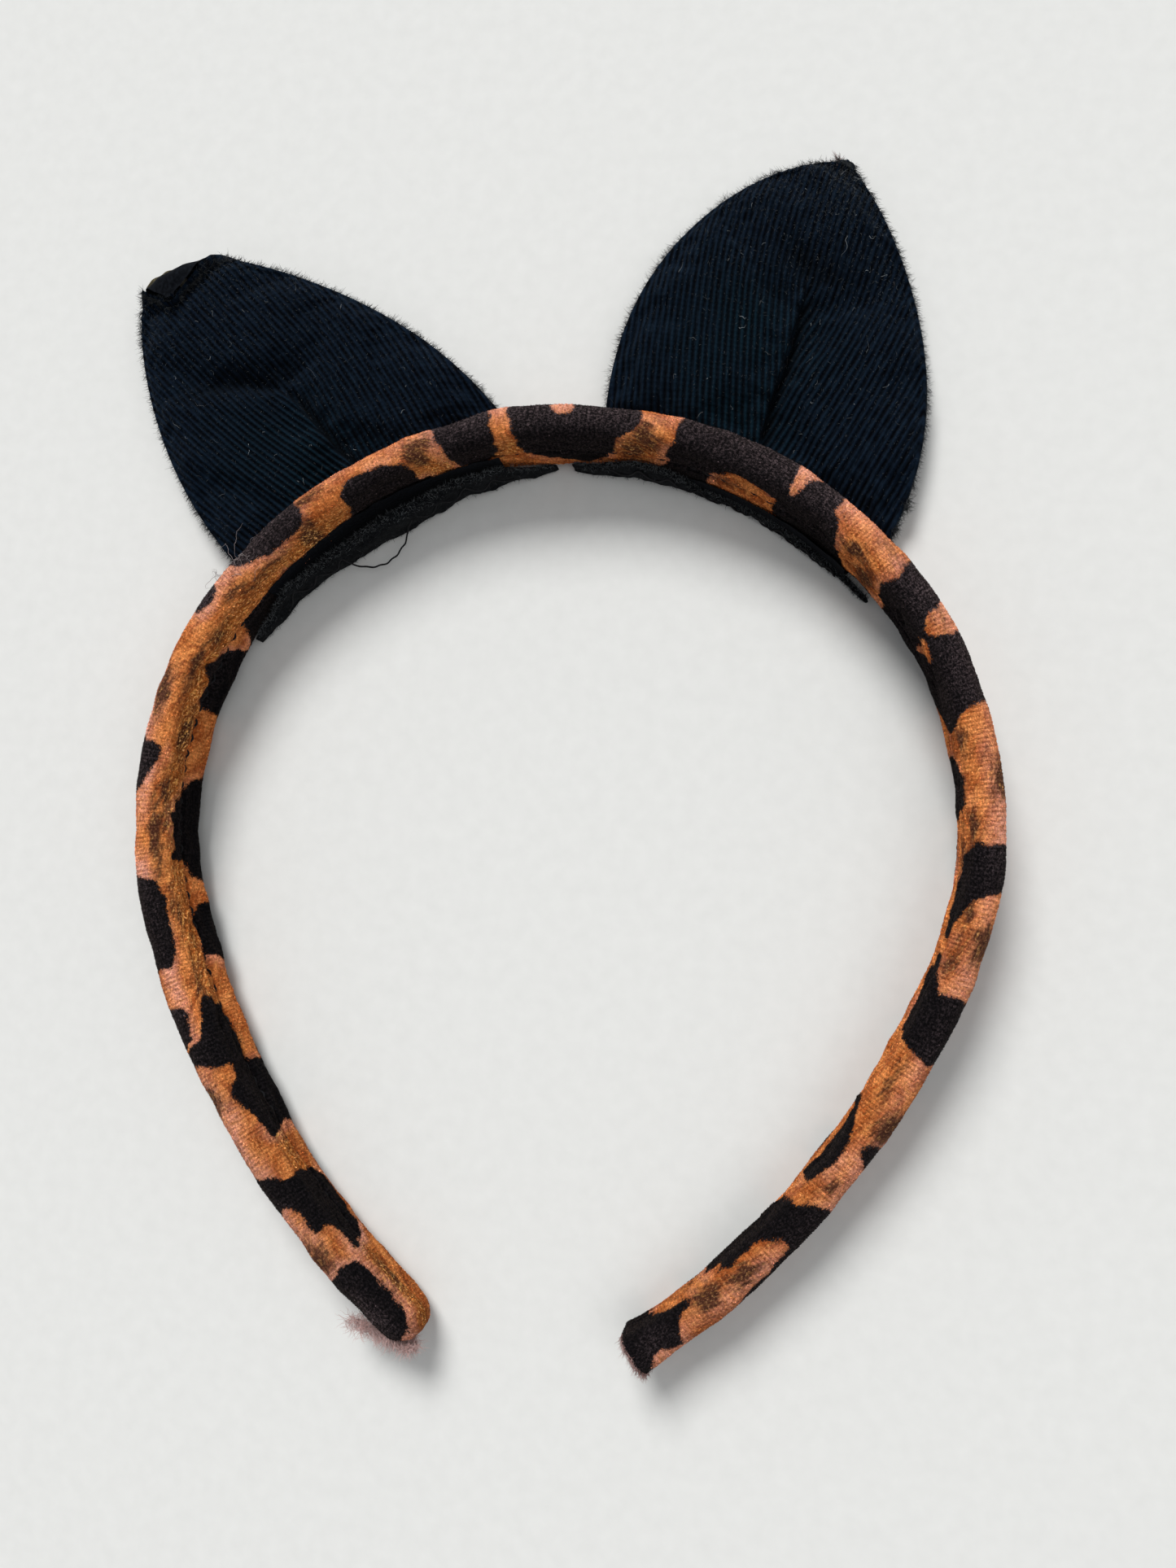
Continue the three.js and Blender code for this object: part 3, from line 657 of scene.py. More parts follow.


# ---- The print, and painted sheen and shade on the velvet ----

# Black patches of the print: outlines of [station, girth].
PATCHES = [
    [(-184, 7), (-185, 0.5), (-183.6, -1.6), (-179, -2.5), (-174, -2.4), (-172.2, -0.9), (-172, 2),
     (-173.5, 7)],
    [(-171.3, -3.2), (-166.5, -2.8), (-165.5, 0.2), (-161, 0.6), (-160, 4), (-159, 8), (-155, 9),
     (-154, 3), (-156, -0.5), (-157, -3), (-157.2, -9), (-160, -11), (-166, -10.5), (-170, -8.5),
     (-170.8, -5)],
    [(-150.3, -3.6), (-147, -2), (-143, -0.9), (-141, -1.1), (-139.6, -2.6), (-137.8, -2.2), (-137, 0),
     (-136, 3), (-136.5, 8), (-134, 10), (-133.2, 5), (-133.3, 1), (-131, -0.8), (-128, -1.6),
     (-126.8, -3), (-128, -6.5), (-130, -8.4), (-138, -9), (-139, -16), (-148.5, -16), (-149, -9)],
    [(-132.5, 11), (-132.8, 2), (-131, 0.9), (-128, 0.6), (-126.6, 1.5), (-125.5, 7), (-128, 12)],
    [(-120, 9), (-120.8, 2), (-120, -0.5), (-116, -1.6), (-109, -1.6), (-107, 0.5), (-106, 5), (-109, 11),
     (-115, 12)],
    [(-121.5, -12), (-120, -8.5), (-117, -7.6), (-114.5, -7.2), (-112.5, -9), (-111, -12), (-111.3, -16),
     (-121.5, -16)],
    [(-107, -9.4), (-104.5, -8), (-104, -4.2), (-101, -5.5), (-98.5, -4.6), (-96.5, -4), (-95, -6),
     (-92, -8.5), (-90, -10.5), (-89.2, -13), (-89, -16), (-106.5, -16)],
    [(-94, 5), (-93, 1.5), (-90, 0), (-87.5, -1.3), (-85.8, 0.3), (-85, 4), (-86.5, 9), (-91, 10)],
    [(-79, -10), (-77.5, -6.8), (-75, -6.3), (-72, -5), (-70, -6), (-68, -8), (-67, -11), (-66.5, -16),
     (-79, -16)],
    [(-64.5, -16), (-64, -10), (-62, -7.6), (-58, -7.8), (-54, -7.3), (-50, -9), (-46, -9), (-44, -10.5),
     (-40, -10), (-37.4, -6), (-36.9, -3), (-35.8, -0.8), (-33, -0.2), (-29.5, -0.6), (-26.4, -1.4),
     (-25, -3.2), (-25, -5.5), (-23.4, -8), (-23, -11), (-27, -16)],
    [(-65, 2), (-64, 0.8), (-61.5, 0.8), (-60.5, 2.5), (-61, 7), (-66, 8)],
    [(-57, 8), (-56.4, 1.6), (-54, -0.6), (-51, -1.8), (-47, -2), (-43.8, -1), (-43, 2), (-45, 9),
     (-51, 11)],
    [(-21, 9), (-20, 1), (-19.6, -1.5), (-18.5, -5), (-17, -8), (-14.5, -8.8), (-12, -7.5), (-10.9, -4),
     (-10.8, 0), (-11, 2.4), (-12.5, 7), (-16, 11)],
    [(-8.6, 7), (-7.9, 0), (-7.5, -3), (-7.8, -5), (-6.5, -8), (-4, -10), (-1, -10.5), (2, -12),
     (4.5, -11), (6.5, -8), (8, -4), (9.6, -1.8), (11.3, -0.4), (11, 2.4), (9, 8), (2, 10), (-4, 10)],
    [(18, 8), (17.4, 1), (17, -2), (16, -5), (15.5, -8), (14.2, -10), (14.8, -16), (46, -16), (46.3, -8),
     (46, -4), (44.5, -1), (43, 1), (42, 6), (38, 9), (30, 11), (22, 10)],
    [(55.5, 5), (55.8, 0.6), (55.4, -4), (56, -8), (56.8, -12), (56, -16), (74, -16), (74.5, -12.5),
     (78, -9.5), (79.3, -6), (79, -3), (77.5, -1.5), (76.4, 0.5), (76, 5), (72, 9), (66, 7), (60, 10)],
    [(84, -4.5), (86, -3), (90, -3), (91, -6), (91.8, -10), (91.5, -14), (84, -14), (82, -12),
     (82.5, -8)],
    [(95.6, 6), (95.5, 1), (95.2, -1.2), (96.5, -3), (99, -5), (103, -6.5), (108, -6), (109.5, -3.4),
     (106, -2.2), (103.5, -0.9), (102, 1), (101.6, 5), (99, 10)],
    [(116.5, 7), (116.5, 1), (116.8, -1.5), (113, -3), (112, -6), (118, -8), (123, -5.5), (125, -2.5),
     (126, -0.5), (126.3, 3), (125, 9), (120, 10)],
    [(139.2, 8), (139.3, 2.5), (140.4, 0.7), (142, 1.5), (142.6, 5), (141.5, 9)],
    [(134.5, -4.6), (137, -3.2), (139.5, -1.7), (142, -1), (146, -1.5), (149, -3.2), (148, -6.5),
     (141, -7), (136, -6.4)],
    [(150.4, 4), (150.3, 1), (152, -2), (153.5, -6), (155, -10), (158, -14), (168, -15), (169.2, -8),
     (168, -3), (165, -2), (160, -1.6), (158, -0.6), (157.8, 1.8), (163, 2.6), (168, 3.4), (166, 8),
     (156, 9)],
    [(177, 3), (176.3, 1), (175.2, -0.6), (172.4, -2), (175.5, -2.9), (178, -4), (179.5, -9),
     (180.5, -13), (186, -15), (186, 6), (183.4, 5.5), (182.6, 2.6), (180.3, 1.2), (177.8, 2.4)],
]
# Orange islands inside the black.
ISLANDS = [
    [(23, -16), (22.5, -11), (23.5, -6.5), (26, -4.3), (30, -3.6), (33, -4.5), (34, -7.5), (33, -16)],
    [(35, 5), (35.3, 1), (36.2, -1.8), (37, -1.2), (37.6, 0.5), (39, 5)],
    [(62.5, 5), (62.3, 1), (63.5, -0.9), (65.6, -1.2), (66.3, 1), (66, 5)],
    [(65.4, -2.4), (68.7, -2.9), (67.5, -4.8), (66, -6.6), (65.2, -5)],
    [(-2.2, 2.6), (-1.4, 0.9), (0.6, 0.8), (1.3, 2.6), (0, 4)],
    [(166.5, -2.6), (170, -2.4), (173, -2.8), (177.5, -4.4), (177, -7.5), (171, -6), (167, -5)],
]
# Brown smudges: station, girth, half length, half width, strength.
SMUDGES = [
    (-178, -6, 3, 3, 0.5), (-168.5, 1.5, 3, 1.6, 0.7), (-152, 3.5, 2.5, 1.5, 0.6),
    (-142, 2.4, 2, 2.2, 0.8), (-125, -3.5, 5, 1.6, 0.5), (-113, -3, 5, 1.0, 0.55),
    (-101, -1.5, 6, 1.0, 0.95), (-94, -3, 4, 1.1, 0.7), (-83, -5.5, 5, 1.2, 0.6), (-78, 0.8, 4, 1.2, 0.8),
    (-72, -2.2, 5, 1.0, 0.7), (-66, -3.5, 4, 1.2, 0.5), (-59, -1.4, 3, 1.0, 0.7),
    (-53, -3.4, 5, 1.2, 0.5), (-44.5, -5, 1.6, 3.5, 0.9), (-41, 1.0, 3, 1.0, 0.6),
    (-23, -1, 2.2, 2.2, 1.0), (-26.5, -4.4, 1.4, 2.0, 0.8), (-19, -9, 4, 1.5, 0.5), (10.5, -6, 2, 4, 0.6),
    (13, -2, 2.2, 2.4, 0.9), (27, -7.5, 3, 1.6, 0.45), (49, -2.5, 2.5, 1.2, 0.7), (52, -7, 2, 4, 0.7),
    (52.5, 1.2, 2.0, 1.0, 0.5), (81, -2.2, 2.5, 1.0, 0.6), (86.5, 3, 2.5, 1.8, 1.0),
    (93.5, -1.8, 2.5, 1.0, 0.7), (98, -6, 4, 3, 0.5), (109, 2.4, 2.6, 1.8, 1.0), (105, -1.0, 3, 0.8, 0.6),
    (112, -1.2, 3, 0.8, 0.5), (136.5, 2.6, 2.6, 2.0, 1.0), (131, -1.2, 4, 0.8, 0.6),
    (147, 0.8, 2.0, 1.2, 0.5), (164.5, 0.2, 2.4, 1.2, 0.9), (170.5, -0.8, 2.4, 1.6, 0.9),
    (172, -7, 3, 3, 0.4), (60, 1.4, 6, 0.8, 0.5), (5, 1.6, 6, 0.7, 0.35),
]
# Dusty places on the black, the same way.
DUSTY = [
    (-180, 1.6, 4, 1.5, 1.0), (-165, 2.5, 3, 1.6, 0.7), (-127, 2.5, 3, 1.5, 0.5), (180, 0, 3, 2, 0.4),
]


def rounded(outline, steps=5):
    """A closed smooth curve through an outline's points."""
    p = np.asarray(outline, float)
    before, after, after2 = (np.roll(p, k, 0) for k in (1, -1, -2))
    t = (np.arange(steps) / steps)[None, :, None]
    a, b, c, d = (q[:, None, :] for q in (before, p, after, after2))
    curve = 0.5 * (2 * b + (c - a) * t + (2 * a - 5 * b + 4 * c - d) * t**2 + (3 * b - a - 3 * c + d) * t**3)
    return curve.reshape(-1, 2)


def depth_in(outline, place, far=4.0):
    """How far each place is inside a closed curve, below zero outside. Far places aren't measured."""
    depth = np.full(len(place), -far)
    near = ((place > outline.min(0) - far) & (place < outline.max(0) + far)).all(1)
    p = place[near]
    best, crossings = np.full(len(p), np.inf), np.zeros(len(p), int)
    for a, b in zip(outline, np.roll(outline, -1, 0)):
        ab = b - a
        t = np.clip(((p - a) @ ab) / max(ab @ ab, 1e-9), 0, 1)
        best = np.minimum(best, np.linalg.norm(p - a - t[:, None] * ab, axis=1))
        straddles = (a[1] > p[:, 1]) != (b[1] > p[:, 1])
        x = a[0] + (p[:, 1] - a[1]) * ab[0] / (ab[1] if abs(ab[1]) > 1e-9 else 1e-9)
        crossings += straddles & (p[:, 0] < x)
    depth[near] = np.minimum(np.where(crossings % 2 == 1, best, -best), far)
    return depth


def tip_darkening(station):
    """How much darker the velvet is towards its tips."""
    return 1 - 0.24 * smooth(-station, 120, 160) - 0.12 * smooth(station, 110, 160)


def hidden_patches():
    """Blobs over the outer face and back edge, in three loose rows."""
    rng = np.random.default_rng(11)
    made = []
    for k in range(HIDDEN_PATCHES):
        row = k % 3
        station = lerp(-180, 180, (k + rng.uniform(0.1, 0.9)) / HIDDEN_PATCHES)
        girth = (11.5, 14.8, -14.0)[row] + rng.uniform(-0.8, 0.8)
        size = rng.uniform(2.0, 3.6) if row == 0 else rng.uniform(1.6, 2.8)
        angle = np.arange(7) / 7 * 2 * math.pi
        radius = size * rng.uniform(0.7, 1.25, 7)
        along, around = 1.5 * radius * np.cos(angle), 0.8 * radius * np.sin(angle)
        made.append(np.stack([station + along, girth + around], -1))
    return made


def spots(listed, place):
    """The strongest of the listed soft spots at each place."""
    strongest = np.zeros(len(place))
    for station, girth, half_length, half_width, strength in listed:
        away = ((place[:, 0] - station) / half_length) ** 2 + ((place[:, 1] - girth) / half_width) ** 2
        strongest = np.maximum(strongest, strength * np.exp(-0.8 * away))
    return strongest


def print_fields(station, girth):
    """The print's fields at each place on the sleeve, and where painted sheen, shade and glints go."""
    wobble, broad = Noise(3), Noise(5)
    along = station + 0.5 * wobble(station / 1.6, girth / 1.6)
    along = along + 0.16 * wobble(station / 0.6, girth / 0.6 + 9)
    around = girth + 0.35 * wobble(station / 1.6 + 31, girth / 1.6)
    around = around + 0.12 * wobble(station / 0.6 + 17, girth / 0.6)
    place = np.stack([along, around], -1)
    black = np.full(len(place), -4.0)
    for outline in PATCHES:
        black = np.maximum(black, depth_in(rounded(outline), place))
    for outline in hidden_patches():
        for shift in (-GIRTH, 0.0, GIRTH):
            black = np.maximum(black, depth_in(rounded(outline), place + np.array([0.0, shift])))
    for outline in ISLANDS:
        black = np.minimum(black, -depth_in(rounded(outline), place))
    # Pink: painted sheen along the lit outer edge, and the print's pink rims round black patches.
    pink_rim_and_sheen = smooth(girth, -1.5, 2.4) * (0.6 + 0.6 * broad(station / 6, girth / 3))
    pink_rim_and_sheen = pink_rim_and_sheen * (1 - 0.6 * smooth(girth, 4, 8))
    on_arm = smooth(-station, 40, 60) * smooth(girth, -1.2, 0.8) * (1 - 0.5 * smooth(girth, 5, 8))
    pink_rim_and_sheen = pink_rim_and_sheen + on_arm * (0.3 + 0.4 * broad(station / 5 + 3, girth / 2.5))
    rim = smooth(black, -2.4, -0.3) * smooth(broad(station / 5 + 20, girth / 4), -0.3, 0.6)
    pink_rim_and_sheen = pink_rim_and_sheen + 0.5 * rim + 0.7 * smooth(black, -1.9, -0.2) * smooth(-station, 165, 172)
    # Painted shade and painted glints on the inner face of the left half, between its corner and the seam.
    inner_shade_and_glints = smooth(-girth, 2.0, 4.5) * smooth(girth, SEAM + 0.2, SEAM + 1.6)
    inner_shade_and_glints = inner_shade_and_glints * smooth(-station, -30, 5) * (0.75 + 0.25 * broad(station / 9, 40))
    # Grey on the black: painted sheen along the lit outer edge, less along the arms, and real dust spots.
    dust_and_sheen = 0.25 + 0.75 * smooth(girth, -2.6, 1.8) * (0.7 + 0.3 * broad(station / 6 + 9, girth / 3))
    dust_and_sheen = dust_and_sheen * (1 - 0.8 * smooth(np.abs(girth), 8, 10)) * (1 - 0.6 * smooth(np.abs(station), 60, 120))
    return {
        "black": black, "brown": spots(SMUDGES, place), "pink_rim_and_sheen": np.clip(pink_rim_and_sheen, 0, 1), "inner_shade_and_glints": inner_shade_and_glints,
        "dust_and_sheen": np.maximum(dust_and_sheen, 1.3 * spots(DUSTY, place)),
    }


# ---- The strip and its sleeve ----


def tip_share(station, side):
    """What is left of the sleeve's section near a tip. The left one is rounded, and the right one flares."""
    to_end = np.clip(ENDS[side] - np.abs(station), 0, None)
    if side == "left":
        t = 1 - np.clip(to_end / TIP_ROUND, 0, 1)
        return np.clip((1 - t**2.4), 0.0, 1) ** (1 / 2.4) * 0.96 + 0.04
    t = 1 - np.clip(to_end / 1.0, 0, 1)
    return (1 + 0.1 * smooth(1 - to_end / 8, 0, 1)) * (np.clip(1 - t**5, 0, 1) ** 0.2 * 0.95 + 0.05)


def sleeve_relief(station, girth):
    """How far the velvet stands out of its section: wrinkles and a groove at the seam, and soft lumps.

    On the left arm it also bulges inward past the seam, and outward at its front corner.
    """
    lumps, folds = Noise(21), Noise(22)
    to_seam = girth - SEAM
    relief = 0.3 * lumps(station / 9, girth / 5) + 0.16 * lumps(station / 3 + 7, girth / 2.5)
    left = smooth(-station, 57, 72) * (1 - 0.6 * smooth(-station, 120, 165))
    relief = relief + 1.35 * hump(to_seam, -2.9, 1.9) * left
    relief = relief + 0.7 * hump(girth, 4.5, 3.5) * smooth(-station, 95, 125)
    relief = relief + 0.8 * hump(girth, -5.0, 2.4) * smooth(-station, 168, 178)
    beside = hump(to_seam, 2.8, 2.3) + 0.6 * hump(to_seam, -2.2, 1.4)
    gathers = 0.75 + 0.25 * lumps(station / 12, 50)
    gathers = gathers * (1 + 0.7 * smooth(-station, 55, 75) * (1 - smooth(-station, 125, 150)))
    wrinkles = 0.5 * folds((station + 1.7 * girth) / 4.2, girth / 1.15)
    wrinkles = wrinkles + 0.3 * folds((station - girth) / 1.6 + 5, girth / 0.8)
    stitch = 0.5 + 0.5 * np.cos(2 * math.pi * station / STITCH_PITCH)
    relief = relief + gathers * beside * wrinkles - (0.6 + 0.2 * stitch) * hump(to_seam, 0, 0.36)
    return relief + 0.16 * hump(np.abs(to_seam), 0.95, 0.45) * (1 - 0.5 * stitch)


def sleeve_points(station, girth, side, inward=0.0, relief=True):
    """Points of the sleeve's skin, or of a surface inward of it."""
    share = tip_share(station, side)
    half = FACE * share - inward
    height = sleeve_height(station) * share - 2 * inward
    corner = np.minimum(CORNER * share, np.maximum(half - 0.02, 0.02))
    corner = np.clip(corner - 0.6 * inward, 0.02, None)
    corner = np.minimum(corner, np.maximum(half, 0.03) * 0.98)
    offset, z, out, up = section(girth, np.maximum(half, 0.03), np.maximum(height, 0.06), corner)
    if relief:
        proud = sleeve_relief(station, girth) * smooth(ENDS[side] - np.abs(station), 0.0, 3.0)
        offset, z = offset + proud * out, z + proud * up
    z = np.maximum(z + middle_height(station), 0.02)
    return band_point(station, offset, z)


def make_sleeve(side):
    """Half of the sleeve: a skin of fine velvet, an inner wall, and the pile on it."""
    sign, (rows, columns) = SIGNS[side], SKIN_GRID
    ease = np.linspace(0, 1, rows)
    station = lerp(SPLIT_STATION, sign * ENDS[side], 1 - (1 - ease) ** 1.04)
    girth = (np.arange(columns) / columns - 0.5) * GIRTH
    S, G = grid(station, girth)
    skin = sleeve_points(S, G, side)
    Si, Gi = grid(np.linspace(SPLIT_STATION, sign * (SLEEVE_END - 1.6), WALL_ROWS), girth)
    wall = sleeve_points(Si, Gi, side, inward=WALL_DEPTH, relief=False)
    skin_quads, skin_places = grid_faces(rows, columns, wrap=True)
    wall_quads, wall_places = grid_faces(WALL_ROWS, columns, wrap=True, start=rows * columns)
    j = np.arange(columns)
    nxt = (j + 1) % columns
    rim = np.stack([nxt, j, j + rows * columns, nxt + rows * columns], -1)
    tip_skin = ((rows - 1) * columns + j)[None, :]
    tip_wall = (rows * columns + (WALL_ROWS - 1) * columns + j)[None, ::-1]
    faces = [skin_quads, wall_quads[:, ::-1], rim, tip_skin, tip_wall]
    places = [skin_places * (0.95, 1), wall_places[:, ::-1] * (0.03, 1) + (0.96, 0)]
    places += [np.full(f.shape + (2,), 0.995) for f in faces[2:]]
    stations, girths = np.concatenate([S.ravel(), Si.ravel()]), np.concatenate([G.ravel(), Gi.ravel()])
    fields = print_fields(stations, girths)
    fields["cloth"] = flat_places(stations, girths)
    fields["flick"] = 0.92 * tip_darkening(stations)
    points = np.concatenate([skin.reshape(-1, 3), wall.reshape(-1, 3)])
    piece = make_piece(f"sleeve_{side}", points, faces, velvet, places, fields, flip=side == "left")
    bend_with_arm(piece)
    nodes = ["sleeve_arm_left", "sleeve_crown"] if side == "left" else ["sleeve_arm_right"]
    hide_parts(*nodes)
    make_pile(side)
    make_tuft(side)


def make_pile(side):
    """The velvet's standing fibres, each a thin closed spike that leans along the band."""
    rng = np.random.default_rng(seed_for(side, 31))
    sign, n = SIGNS[side], PILE["count"]
    end = ENDS[side] - 0.2
    station = sign * (sign * SPLIT_STATION + (end - sign * SPLIT_STATION) * rng.random(n))
    girth = (rng.random(n) - 0.5) * GIRTH
    root = sleeve_points(station, girth, side)
    ahead = unit(sleeve_points(station + 0.05 * sign, girth, side) - root)
    round_it = sleeve_points(station, girth + 0.05, side) - root
    normal = unit(np.cross(ahead, round_it) * -sign)
    across = np.cross(normal, ahead)
    lean = 0.7 * sign * ahead + rng.normal(0, 0.45, (n, 1)) * ahead + rng.normal(0, 0.45, (n, 1)) * across
    length = PILE["length"] * rng.uniform(0.55, 1.15, (n, 1))
    turn = rng.uniform(0, 2 * math.pi, (n, 1))
    base = root - PILE["sunk"] * normal
    ring = [base + PILE["width"] * (np.cos(turn + a) * ahead + np.sin(turn + a) * across) for a in THIRDS]
    points = np.stack([*ring, base + (length + PILE["sunk"]) * unit(normal + lean)], 1)
    points[..., 2] = np.maximum(points[..., 2], 0.01)
    corner = np.array([(0, 1, 3), (1, 2, 3), (2, 0, 3), (2, 1, 0)])
    faces = (4 * np.arange(n)[:, None, None] + corner[None]).reshape(-1, 3)
    place = np.stack([(station - SPLIT_STATION) / (sign * end - SPLIT_STATION), girth / GIRTH + 0.5], -1)
    spread = np.array([(0, 0), (0.0015, 0), (0, 0.002)])
    places = np.clip(np.repeat(place, 4, 0)[:, None, :] * 0.99 + spread[None], 0, 1)
    fields = {k: np.repeat(v, 4) for k, v in print_fields(station, girth).items()}
    fields["cloth"] = np.repeat(flat_places(station, girth), 4, 0)
    # Brighter clumps, and one fibre in twenty at twice the brightness, are painted glints.
    clump = Noise(33)((station + 0.6 * girth) / 1.5, girth / 0.5)
    bright = rng.uniform(0.55, 1.4, n) * (1 + 0.45 * clump) * tip_darkening(station)
    fields["flick"] = np.repeat(bright * np.where(rng.random(n) < 0.05, 2.0, 1.0), 4)
    pile = make_piece(f"sleeve_pile_{side}", points, [faces], velvet, [places], fields)
    pile.data.polygons.foreach_set("use_smooth", np.zeros(len(pile.data.polygons), bool))
    bend_with_arm(pile)


def make_tuft(side):
    """Frayed fibres at a tip of the sleeve."""
    stations, girths, length, count, tones, blushes = TUFTS[side]
    rng = np.random.default_rng(seed_for(side, 35))
    station, girth = rng.uniform(*stations, count), rng.uniform(*girths, count)
    roots = sleeve_points(station, girth, side)
    rightward, outward = facing(band_frame(station)[2])
    aim = SIGNS[side] * rightward * rng.uniform(0.15, 0.75, (count, 1))
    aim = aim + outward * rng.uniform(0.4, 1.0, (count, 1))
    aim[:, 2] = rng.uniform(-0.5, 0.25, count)
    paths = wander(rng, roots, aim, length * rng.uniform(0.2, 1.0, (count, 1)), 6, 0.3)
    tone, blush = rng.uniform(*tones, count), rng.uniform(*blushes, count)
    tuft = strands(f"sleeve_tuft_{side}", paths, FIBRE_RADII["tuft"], tone, blush)
    bend_with_arm(tuft)


def make_wisp():
    """A wisp of pink fibres that has come loose and trails beside the left tip."""
    rng = np.random.default_rng(81)
    count = WISP["number"]
    along = rng.random(count) ** 0.8
    station = lerp(*WISP["stations"], along)
    away = lerp(*WISP["away"], along) + rng.normal(0, WISP["spread"], count)
    roots = band_point(station, FACE + away, rng.uniform(*WISP["heights"], count))
    onward = -facing(band_frame(station)[2])[0]
    aim = onward * rng.uniform(-0.7, 1.0, (count, 1)) + rng.normal(0, 0.35, (count, 3))
    paths = wander(rng, roots, aim, rng.uniform(0.8, 2.6, (count, 1)), 6, 0.35)
    tone, blush = rng.uniform(0.85, 1.1, count), rng.uniform(0.4, 0.7, count)
    wisp = strands("sleeve_wisp_left", paths, FIBRE_RADII["wisp"], tone, blush)
    bend_with_arm(wisp)


def make_strip(side):
    """Half of the springy plastic strip, inside the sleeve."""
    rows, columns = 90, 24
    girth = (np.arange(columns) / columns - 0.5) * GIRTH
    S, G = grid(np.linspace(SPLIT_STATION, SIGNS[side] * HALF_LENGTH, rows), girth)
    share = 1 - 0.35 * np.clip((np.abs(S) - (HALF_LENGTH - 4.5)) / 4.5, 0, 1) ** 2
    half, height = STRIP_THICKNESS / 2 * share, (sleeve_height(S) - 2 * CLOTH_AND_FIT) * share
    offset, z, _, _ = section(G, half, height, 0.7 * share)
    points = band_point(S, offset, z + middle_height(S))
    faces, places = tube_faces(rows, columns)
    fields = {"cloth": flat_places(S, G)}
    piece = make_piece(f"strip_{side}", points, faces, plastic, places, fields, flip=side == "left")
    bend_with_arm(piece)
    nodes = ["strip_arm_left", "strip_crown"] if side == "left" else ["strip_arm_right"]
    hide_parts(*nodes)


def make_seam_thread(side):
    """The sleeve's seam thread: a slip stitch that runs in the groove and crosses it from side to side."""
    station = np.linspace(SPLIT_STATION, SIGNS[side] * (HALF_LENGTH - 4.3), 900)
    swing = 0.3 * np.sin(2 * math.pi * station / STITCH_PITCH)
    points = sleeve_points(station, SEAM + swing, side)
    dip = 0.10 + 0.12 * np.cos(4 * math.pi * station / STITCH_PITCH)
    points -= dip[:, None] * facing(band_frame(station)[2])[1]
    piece = sewn(f"seam_thread_{side}", points, THREAD_RADII["seam"])
    bend_with_arm(piece)
    nodes = [f"sleeve_seam_thread_arm_{side}"]
    if side == "left":
        nodes.append("sleeve_seam_thread_crown")
    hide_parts(*nodes)


# ---- The ears ----


def leaf_at(ear, along, across):
    """Width and height shares of the leaf's edge. The right ear has a fuller shoulder on its left."""
    t = np.asarray(along, float)
    weights = ((1 - t) ** 3, 3 * (1 - t) ** 2 * t, 3 * (1 - t) * t**2, t**3)
    inner = smooth(-np.asarray(across, float), 0.0, 0.7)
    corners = zip(ear["leaf"], ear.get("inner_leaf", ear["leaf"]))
    mixed = [[lerp(p[k], q[k], inner) for k in (0, 1)] for p, q in corners]
    return (sum(w * p[k] for w, p in zip(weights, mixed)) for k in (0, 1))


def shares(rows, columns):
    """Shares up a leaf, 0 to 1, and across it, -1 to 1, over a grid."""
    return grid(np.linspace(0, 1, rows), np.linspace(-1, 1, columns))


def on_leaf(ear, up, across, inset=0.0, shorter=0.0):
    """Places on a leaf, or on a smaller one inside it: how far across and up, and the half width there."""
    width, high = leaf_at(ear, up, across)
    half = np.maximum(width * (ear["half"] - inset), EAR_TIP_WIDTH / 2)
    return across * half, high * (ear["height"] - shorter), half


def ear_surface(ear, u, v, z):
    """Points of an ear's cloth: u across, v up from its base, and z above the table before the ear cups."""
    middle = station_at(ear["heading"])
    rightward, outward = (direction[:2] for direction in facing(ear["heading"]))
    on_face = band_point(middle, FACE + EAR_GAP, 0.0)[:2]

    def straight(a, b):
        return on_face + a[..., None] * rightward + b[..., None] * outward

    foot = band_point(middle + EAR_GRIP * u, FACE + EAR_GAP + np.minimum(v, 0), 0.0)
    up = np.clip(v / ear["height"], 0, 1)
    hold = ((1 - up) ** 3)[..., None]
    free = straight(u + ear["lean"] * up, np.maximum(v, 0))
    flat = free + hold * (foot[..., :2] - straight(u, 0 * v))
    lift = EAR_CUP * (u / ear["half"]) ** 2 * np.sin(math.pi * np.sqrt(up)) ** 2 + ear["rise"] * up**1.5
    return np.concatenate([flat, (z + lift)[..., None]], -1)


def curl_start():
    """Where the left ear's tip starts to curl, and the directions across and onward there."""
    ear = EARS["left"]
    start = ear_surface(ear, np.array(0.0), np.array(CURL["from"]), np.array(EAR_STACK / 2))
    return start, *facing(ear["heading"] + CURL["slant"])


def curled(points, side):
    """The left ear's tip curls forward, up and over."""
    if side != "left":
        return points
    start, _, onward = curl_start()
    onward = onward[:2]
    slope = 1.5 * EARS[side]["rise"] / EARS[side]["height"]
    past = np.clip((points[..., :2] - start[:2]) @ onward, 0, None)
    radius = CURL["radius"]
    angle = np.minimum(past / radius, 0.96 * math.pi)
    spare = past - angle * radius
    proud = points[..., 2] - start[2] - slope * past
    new_past = np.sin(angle) * (radius - proud) + spare * np.cos(angle)
    new_z = radius - np.cos(angle) * (radius - proud) + spare * np.sin(angle)
    moved = points.copy()
    moved[..., :2] += (new_past - past)[..., None] * onward
    moved[..., 2] = np.where(past > 0, start[2] + slope * new_past + new_z, points[..., 2])
    return moved


def knit_place(side, u, v):
    """Across and along the ribs. The dart takes out a wedge of cloth, so the ribs lean in towards it."""
    top = DART_TOP[side]
    r, angle = np.hypot(u, v - top), np.arctan2(u, v - top)
    angle = angle * (1 - WEDGE[side] / (2 * math.pi))
    return r * np.sin(angle), r * np.cos(angle) + top


def ear_thickness(ear, v, half, across):
    """The padded ear's thickness: thin at its sewn edge, full over the stiffener."""
    to_edge = np.minimum((1 - np.abs(across)) * half, ear["height"] - v)
    return lerp(EDGE_THICKNESS, FULL_THICKNESS, smooth(to_edge, 0.2, 4.2))


